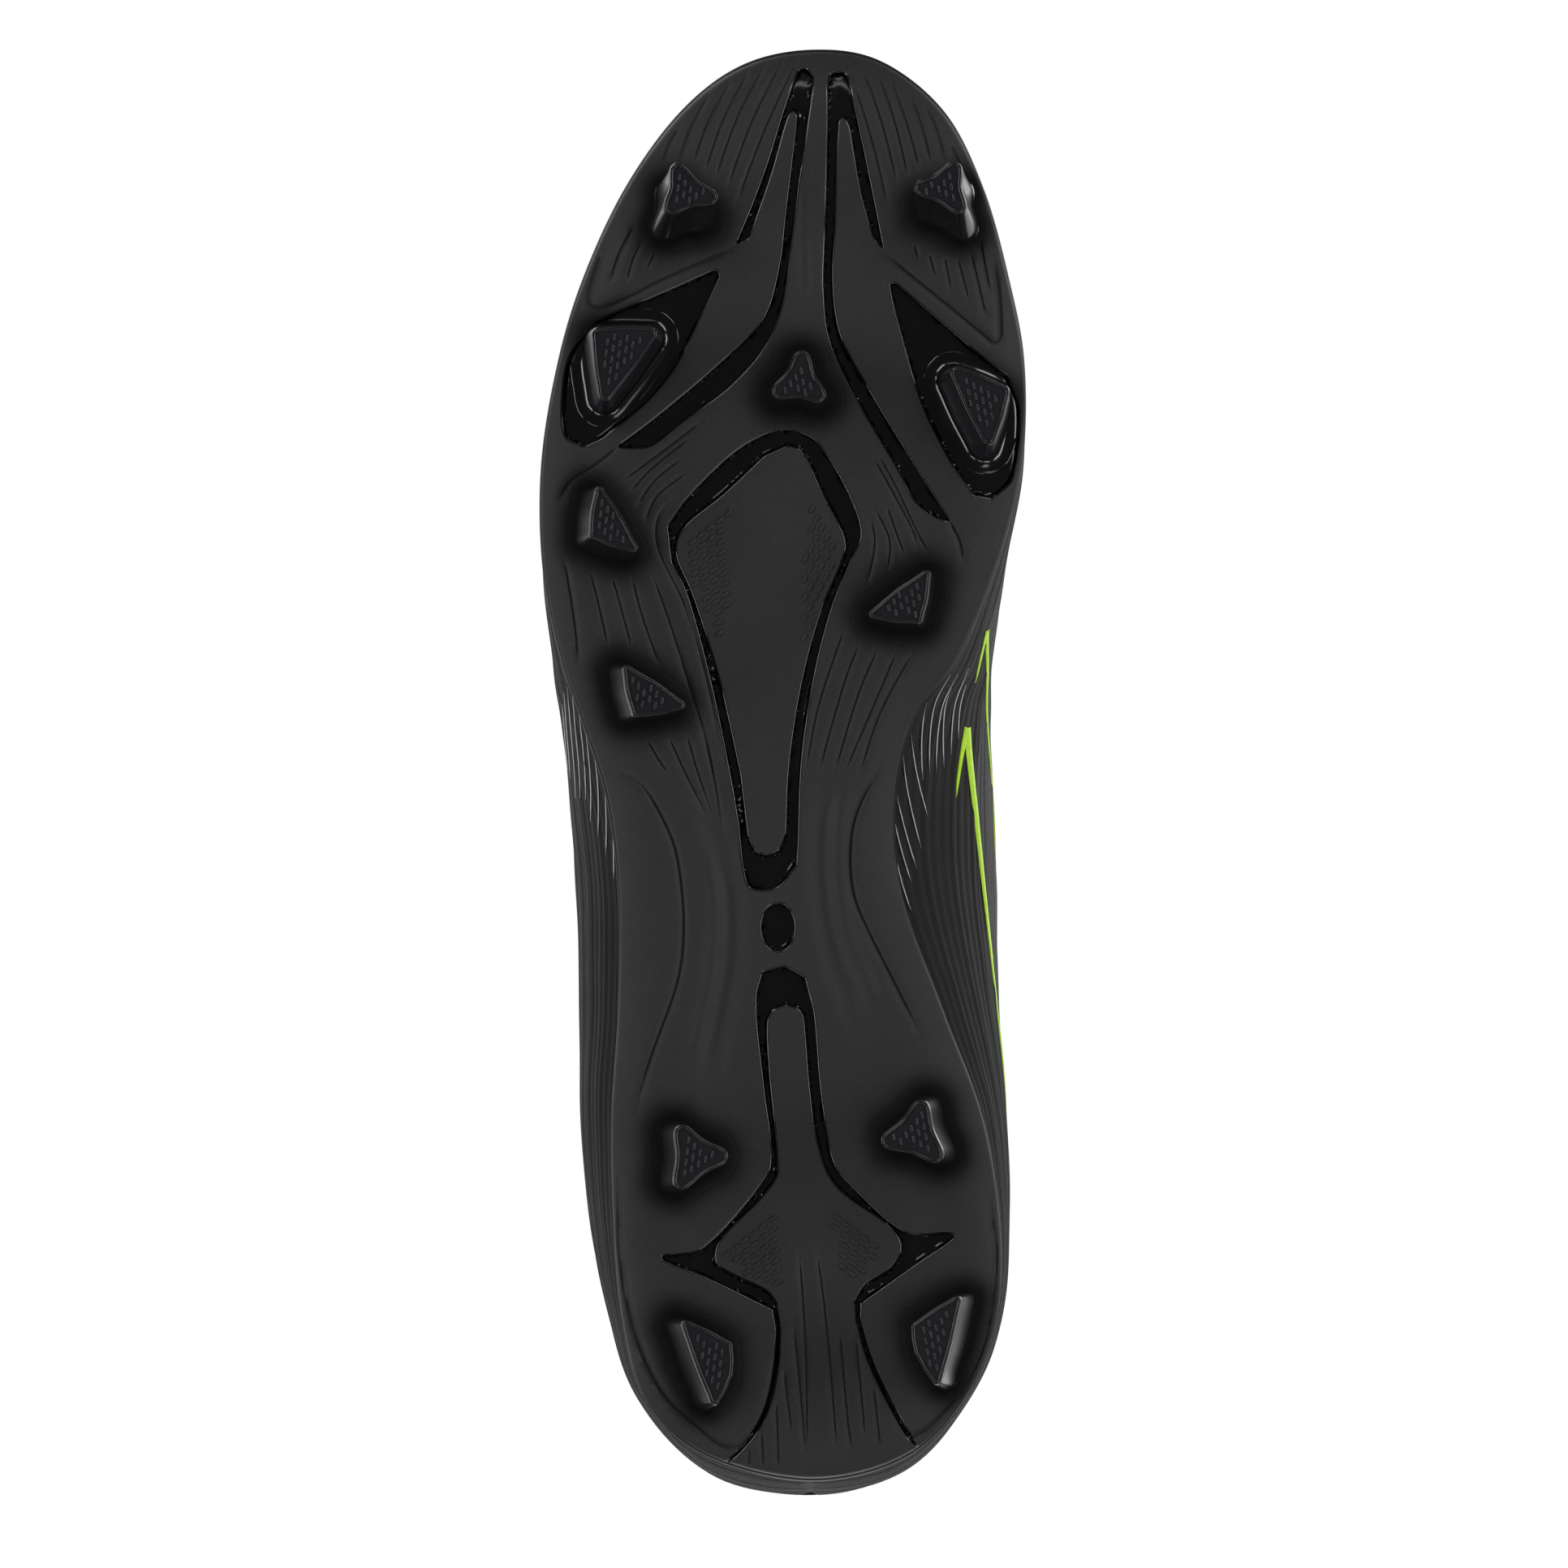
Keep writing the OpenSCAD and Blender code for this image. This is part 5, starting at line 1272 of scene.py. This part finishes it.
def back_tape():
    """Tape over the back seam, with a line of stitches along each side."""
    u, v = np.meshgrid(spaced(TAPE_START, TAPE_END, 22, 0.08), spaced(TAPE_LOW, 1.0, 70, 0.012))
    border = np.minimum(np.minimum(u - TAPE_START, TAPE_END - u) * 14,
                        np.minimum(v - TAPE_LOW, 1.0 - v) * 95)
    outer = -0.65 + rounding(border, 0.4) + 0.15 * np.exp(-((border - 1.6) / 0.3) ** 2)
    slab("back_tape_film", u, v, outer, np.full(u.shape, -0.02), TAPE, "trim_film",
         ["back_seam_tape"])
    heap = Heap()
    for s in (TAPE_START + 0.115, TAPE_END - 0.115):
        path = np.column_stack([np.full(400, s), np.linspace(0.37, 0.985, 400)])
        stitches(heap, path, -0.52)
    heap.piece("back_tape_stitching", [THREAD], slot="trim_film", sharp=0)


# ---------------------------------------------------------------- tongue
TONGUE_DEPTH = STIFF + LINING + LACE_THICK + 2.3


def instep(y):
    """Height of the middle of the upper along the foot."""
    return 90.2 + 0.43 * y + 0.0006 * y * y + 0.009 * np.maximum(0, y - 20) ** 2


def tongue_half(y):
    """Half the width of the tongue, with round corners at the back."""
    q = np.array([-46, -25, 0, 12, 24, 36, 44, 48.0])
    w = np.array([18, 21, 21, 18.5, 15, 16.5, 15.5, 12.5])
    t = np.linspace(TONGUE_FRONT, TONGUE_BACK, 200)
    fine = np.pad(np.interp(t, q, w), 8, mode="edge")
    fine = np.convolve(fine, np.ones(17) / 17, mode="valid")
    corner = np.clip((np.asarray(y) - 34) / 14.3, 0, 1)
    return np.interp(y, t, fine) * np.sqrt(1 - 0.96 * corner ** 2)


def tongue_points(y, s, depth):
    """Point of the tongue: y along, s from -1 to 1 across, depth below its crown."""
    x = tongue_half(y) * s
    return np.stack([x + 1, y, instep(y) - 0.0165 * np.maximum(x * x, 121) - depth], -1)


def tongue_layer(name, node_name, start, end, slot, quilt, puff):
    """One layer of the tongue between two depths, quilted below where it is a puff."""
    front, back = TONGUE_FRONT, TONGUE_BACK
    y = np.concatenate([[front, front + 0.2, front + 0.6],
                        np.linspace(front + 1.2, back - 1.6, 190),
                        [back - 0.6, back - 0.2, back]])
    s = np.concatenate([[-1, -0.99, -0.97], np.linspace(-0.94, 0.94, 70), [0.97, 0.99, 1]])
    yy, ss = np.meshgrid(y, s, indexing="ij")
    border = np.minimum((1 - np.abs(ss)) * tongue_half(yy), np.minimum(yy - front, back - yy))
    thick = end - start
    soft = np.sqrt(np.clip(1 - (1 - np.clip(border / (0.55 * thick + 0.4), 0, 1)) ** 2, 0, 1))
    middle = (start + end) / 2
    waves = quilt * np.abs(np.sin(math.pi * (yy - front) / 9.4)) ** 0.5 * eased(border / 4)
    seam = 0.3 * np.exp(-((border - 2.2) / 0.4) ** 2)
    top = middle - (thick / 2) * soft
    low = middle + (thick / 2) * soft
    if puff:
        low = low + waves
    else:
        top = top - waves + seam
    uv = np.stack([yy * 0.9, ss * tongue_half(yy) * 0.9], -1)
    return closed_sheet(name, tongue_points(yy, ss, top), tongue_points(yy, ss, low), CLOTH, uv,
                        body="tongue", slot=slot, replaces=[node_name], sharp=60)


def tongue():
    """Cloth cover, quilted pad and a line of stitches along each side."""
    d = TONGUE_DEPTH
    under = d + TONGUE_COVER
    tongue_layer("tongue_cover", "tongue_shell", d, under, "upper_textile", 0.25, False)
    pad = tongue_layer("tongue_padding", "tongue_pad", under + 2 * TOUCH,
                       under + TOUCH + TONGUE_PAD, "lining_cloth", 0.4, True)
    heap = Heap()
    y = np.linspace(-42, 45, 36)
    for side in (-1, 1):
        for a in y[:-1]:
            p0, p1 = (tongue_points(np.array(c), side * (1 - 2.2 / tongue_half(c)), d - 0.1)
                      for c in (a, a + 1.7))
            heap.add(*capsule((p0 + p1) / 2, p1 - p0, np.array([0, 0, 1.0]), 0.9, 0.28, 0.3, 8))
    heap.piece("tongue_stitching", [THREAD], body="tongue", slot="trim_film", sharp=0)


# ---------------------------------------------------------------- lace
# depths of the middle of the lace over the eyestay and under the lining
OVER = -EYESTAY - LACE_THICK / 2 - 0.1
UNDER = STIFF + LINING + LACE_THICK / 2 + 0.15


def eyelet(k, side, depth, level=EYELET_LEVEL):
    """Place at the depth in an eyelet of one side, or at another level in line with it."""
    return skin_point(EYELETS[k] if side < 0 else COUNT - EYELETS[k], level, depth)


def throat(k, side, depth):
    """Place by the edge of the opening, in line with an eyelet."""
    return eyelet(k, side, depth, 0.995)


def ribbon(heap, path, wide, side):
    """Flat woven lace along a smooth path; wide lists the width at every point."""
    path = np.array(path, float)
    data = through(np.column_stack([path, wide]), 7)
    p, w = data[:, :3], data[:, 3]
    t = np.gradient(p, axis=0)
    t /= np.linalg.norm(t, axis=1, keepdims=True)
    s = side - t * (t @ side)[:, None]
    s /= np.linalg.norm(s, axis=1, keepdims=True)
    h = np.cross(s, t)
    a = np.linspace(0, FULL_TURN, 25)
    ca = np.sign(np.cos(a)) * np.abs(np.cos(a)) ** 0.55
    sa = np.sign(np.sin(a)) * np.abs(np.sin(a)) ** 0.75
    thick = LACE_THICK / 2 * (1 + 0.25 * (LACE_WIDTH - w) / LACE_WIDTH)
    ridge = 1 + 0.06 * np.cos(6 * a)
    grid = (p[:, None] + s[:, None] * (ca[None, :] * w[:, None] / 2)[..., None]
            + h[:, None] * (sa * ridge)[None, :, None] * thick[:, None, None])
    length = np.concatenate([[0], np.cumsum(np.linalg.norm(np.diff(p, axis=0), axis=1))])
    uv = np.stack(np.broadcast_arrays(length[:, None] * 1.9, (a * 2.2)[None, :]), -1)
    heap.add(grid, grid_faces(len(p), len(a)), uv)


def lace():
    """Criss-cross lace: out of an eyelet, over the edge, and under the other side."""
    heap = Heap()
    last = len(EYELETS) - 1
    hole = 0.7 * EYELET
    for k in range(last):
        for side in (-1, 1):
            a, b = throat(k, side, OVER), throat(k + 1, -side, UNDER)
            c = (a + b) / 2 + [0, 0, (0.95 if side < 0 else -0.95) * LACE_THICK]
            across = np.cross((b - a) / np.linalg.norm(b - a), [0, 0, 1.0])
            path = [eyelet(k, side, UNDER), eyelet(k, side, 0),
                    eyelet(k, side, OVER - 0.15) * 0.85 + a * 0.15, a, a * 0.55 + c * 0.45, c,
                    c * 0.5 + b * 0.5, b, eyelet(k + 1, -side, UNDER)]
            ribbon(heap, path, [hole, hole, 4.4, 5.4, 5.5, 5.5, 5.5, 5.3, hole], across)
    ribbon(heap, [eyelet(0, -1, UNDER), throat(0, -1, UNDER), throat(0, 1, UNDER),
                  eyelet(0, 1, UNDER)], [hole, 5.2, 5.2, hole], np.array([0, 1.0, 0]))
    for side in (-1, 1):
        e = throat(last, side, OVER)
        ribbon(heap, [eyelet(last, side, UNDER), eyelet(last, side, 0),
                      eyelet(last, side, OVER - 0.15) * 0.85 + e * 0.15, e,
                      throat(last, side, OVER * 0.3) + [-side * 2.2, 0, 0],
                      throat(last, side, UNDER * 0.8) + [-side * 2.0, 0, 0]],
               [hole, hole, 4.4, 5.4, 5.5, 5.5], np.array([0, 1.0, 0]))
    heap.piece("lace_cord_flat", [LACE], slot="lace_cord", replaces=["lace"], sharp=0)


# ---------------------------------------------------------------- insole
def insole():
    """Loose insole: foam with a cloth cover, following the inside of the sole."""
    inset = FEATHER + STIFF + LINING + 0.5 + 0.8
    q = RIM - OUTWARD * inset
    left, right = q[:361], q[360:]
    low_y, high_y = max(left[0, 1], q[0, 1]) + 0.3, q[360, 1] - 0.3
    t = (1 - np.cos(np.linspace(0.02, math.pi - 0.02, 200))) / 2
    y = low_y + (high_y - low_y) * t
    x0 = np.interp(y, left[:, 1], left[:, 0])
    x1 = np.interp(y, right[::-1, 1], right[::-1, 0])
    s = (1 - np.cos(np.linspace(0, math.pi, 90))) / 2
    x = x0[:, None] + (x1 - x0)[:, None] * s
    yy = np.broadcast_to(y[:, None], x.shape)
    e = rim_inset(np.column_stack([x.ravel(), yy.ravel()])).reshape(x.shape)
    floor = sole_height(yy, e)
    lip = np.sqrt(np.clip(1 - (1 - np.clip((e - inset) / 1.6, 0, 1)) ** 2, 0, 1))
    dimple = 0.12 * np.sin(x * 2.1) * np.sin(yy * 2.1) * eased((e - inset) / 4)

    def layer(name, node_name, low, high, mat, slot):
        thin = (high - low) * 0.45 * (1 - lip)
        return closed_sheet(name, np.stack([x, yy, floor + high - thin + dimple], -1),
                            np.stack([x, yy, floor + low + thin], -1), mat,
                            np.stack([x * 0.8, yy * 0.8], -1), up=False, body="insole",
                            slot=slot, replaces=[node_name], sharp=60)

    base = SOLE + 1.5 + 3 * TOUCH
    bed = layer("insole_foam_bed", "insole_foam", base, base + BED - 0.12, FOAM, "foam")
    top = base + BED + TOUCH
    layer("insole_cloth_cover", "insole_cover", top, top + BED_CLOTH, INSOLE, "insole_cloth")


textile()
laid_lines("inner_piping", LIME_LINES, LIME, 0.2, False)
laid_lines("pinstrokes", [(q, 0.2, 0.24) for q in WHITE_LINES], WHITE, RIB_HEIGHT, True)
eyestay()
lining("forefoot_lining_cloth", "forefoot_lining", -EYESTAY_END, EYESTAY_END)
lining("collar_lining_cloth", "collar_lining", EYESTAY_END, 25.0)
collar_foam()
collar_roll()
back_tape()
tongue()
lace()
insole()
# inside pieces keep their CAD shape and get their own material
for inner, mat in (("heel_counter", BOARD), ("toe_puff", BOARD), ("strobel_board", BOARD),
                   ("shank", PLASTIC)):
    nodes[inner].data.materials.clear()
    nodes[inner].data.materials.append(mat)


# ---------------------------------------------------------------- stage, light and camera
def mixed(tree, factor, first, second, out):
    """Mixes two shaders by a factor and sends the result to the output."""
    mix = node(tree, "MixShader")
    link(tree, factor, mix.inputs["Fac"])
    link(tree, first, mix.inputs[1])
    link(tree, second, mix.inputs[2])
    link(tree, mix.outputs["Shader"], out.inputs["Surface"])


def world():
    """White behind the object, and a weak even fill light."""
    made = bpy.data.worlds.new("studio")
    bpy.context.scene.world = made
    made.use_nodes = True
    tree = made.node_tree
    tree.nodes.clear()
    out = node(tree, "OutputWorld")
    path = node(tree, "LightPath")
    seen, fill = (node(tree, "Background", {"Color": (1, 1, 1, 1), "Strength": strength})
                  for strength in (1.0, 0.09))
    mixed(tree, path.outputs["Is Camera Ray"], fill.outputs["Background"],
          seen.outputs["Background"], out)


def stage():
    """Pale floor, seen from above only, so that the sole is lit and seen through it."""
    pale = bpy.data.materials.new("stage_pale")
    pale.use_nodes = True
    tree = pale.node_tree
    tree.nodes.clear()
    out = node(tree, "OutputMaterial")
    face = node(tree, "NewGeometry")
    matte = node(tree, "BsdfDiffuse", {"Color": (0.82, 0.82, 0.82, 1)})
    # a little light of its own keeps the far floor pale
    glow = node(tree, "Emission", {"Strength": 0.6})
    both = node(tree, "AddShader")
    link(tree, matte.outputs["BSDF"], both.inputs[0])
    link(tree, glow.outputs["Emission"], both.inputs[1])
    clear = node(tree, "BsdfTransparent")
    mixed(tree, face.outputs["Backfacing"], both.outputs["Shader"], clear.outputs["BSDF"], out)
    bpy.ops.mesh.primitive_plane_add(size=6, location=(0, 0, -0.0004))
    floor = bpy.context.object
    floor.name = "floor"
    floor.data.materials.append(pale)
    floor.visible_shadow = False
    floor.visible_diffuse = False
    floor.visible_glossy = False
    floor.visible_transmission = False


def lamps():
    """Soft boxes aimed at the middle of the shoe: name, place, width, height, power."""
    target = Vector((0, 0, 0.03))
    soft_boxes = [
        ("key_left", (-0.95, 0.05, -0.42), 0.9, 0.16, 4.6),
        ("key_right", (0.95, -0.05, -0.45), 0.9, 0.16, 4.6),
        ("toe_left", (-0.62, -0.85, -0.6), 0.5, 0.2, 3.0),
        ("toe_right", (0.62, -0.85, -0.6), 0.5, 0.2, 2.6),
        ("toe_side", (0.0, -1.1, -0.5), 0.5, 0.14, 0.5),
        ("heel_left", (-0.62, 0.9, -0.5), 0.5, 0.14, 1.6),
        ("heel_right", (0.62, 0.9, -0.5), 0.5, 0.14, 1.6),
        ("heel_side", (0.0, 1.15, -0.5), 0.5, 0.14, 1.0),
        ("below_soft", (0.55, 0.6, -1.2), 0.4, 0.4, 1.8),
        ("side_left", (-1.0, 0.0, 1.1), 1.6, 1.1, 9),
        ("side_right", (1.0, 0.0, 1.1), 1.6, 1.1, 7),
        ("over_left", (-0.8, -0.9, 1.2), 0.9, 0.9, 12),
        ("over_right", (1.0, -0.6, 1.1), 0.8, 0.8, 9),
        ("over_back", (0.1, 1.2, 1.2), 0.9, 0.9, 14)]
    for name, place, wide, tall, power in soft_boxes:
        data = bpy.data.lights.new(name, "AREA")
        data.shape = "RECTANGLE"
        data.size, data.size_y, data.energy = wide, tall, power
        obj = bpy.data.objects.new(name, data)
        bpy.context.scene.collection.objects.link(obj)
        obj.visible_camera = False
        obj.location = place
        obj.rotation_euler = (target - Vector(place)).to_track_quat("-Z", "Y").to_euler()
    bpy.context.scene.view_settings.view_transform = "Standard"


def camera():
    """Camera straight below the sole: toe up in the picture, inner side to the right."""
    distance, view_width = 4.0, 0.3091
    data = bpy.data.cameras.new("camera")
    data.sensor_width = 36
    data.lens = 36 * distance / view_width
    data.clip_start, data.clip_end = 0.05, 20
    obj = bpy.data.objects.new("camera", data)
    bpy.context.scene.collection.objects.link(obj)
    obj.matrix_world = Matrix(((1, 0, 0, 0), (0, -1, 0, 0.00224), (0, 0, -1, 0.012 - distance),
                               (0, 0, 0, 1)))
    bpy.context.scene.camera = obj


world()
stage()
lamps()
camera()
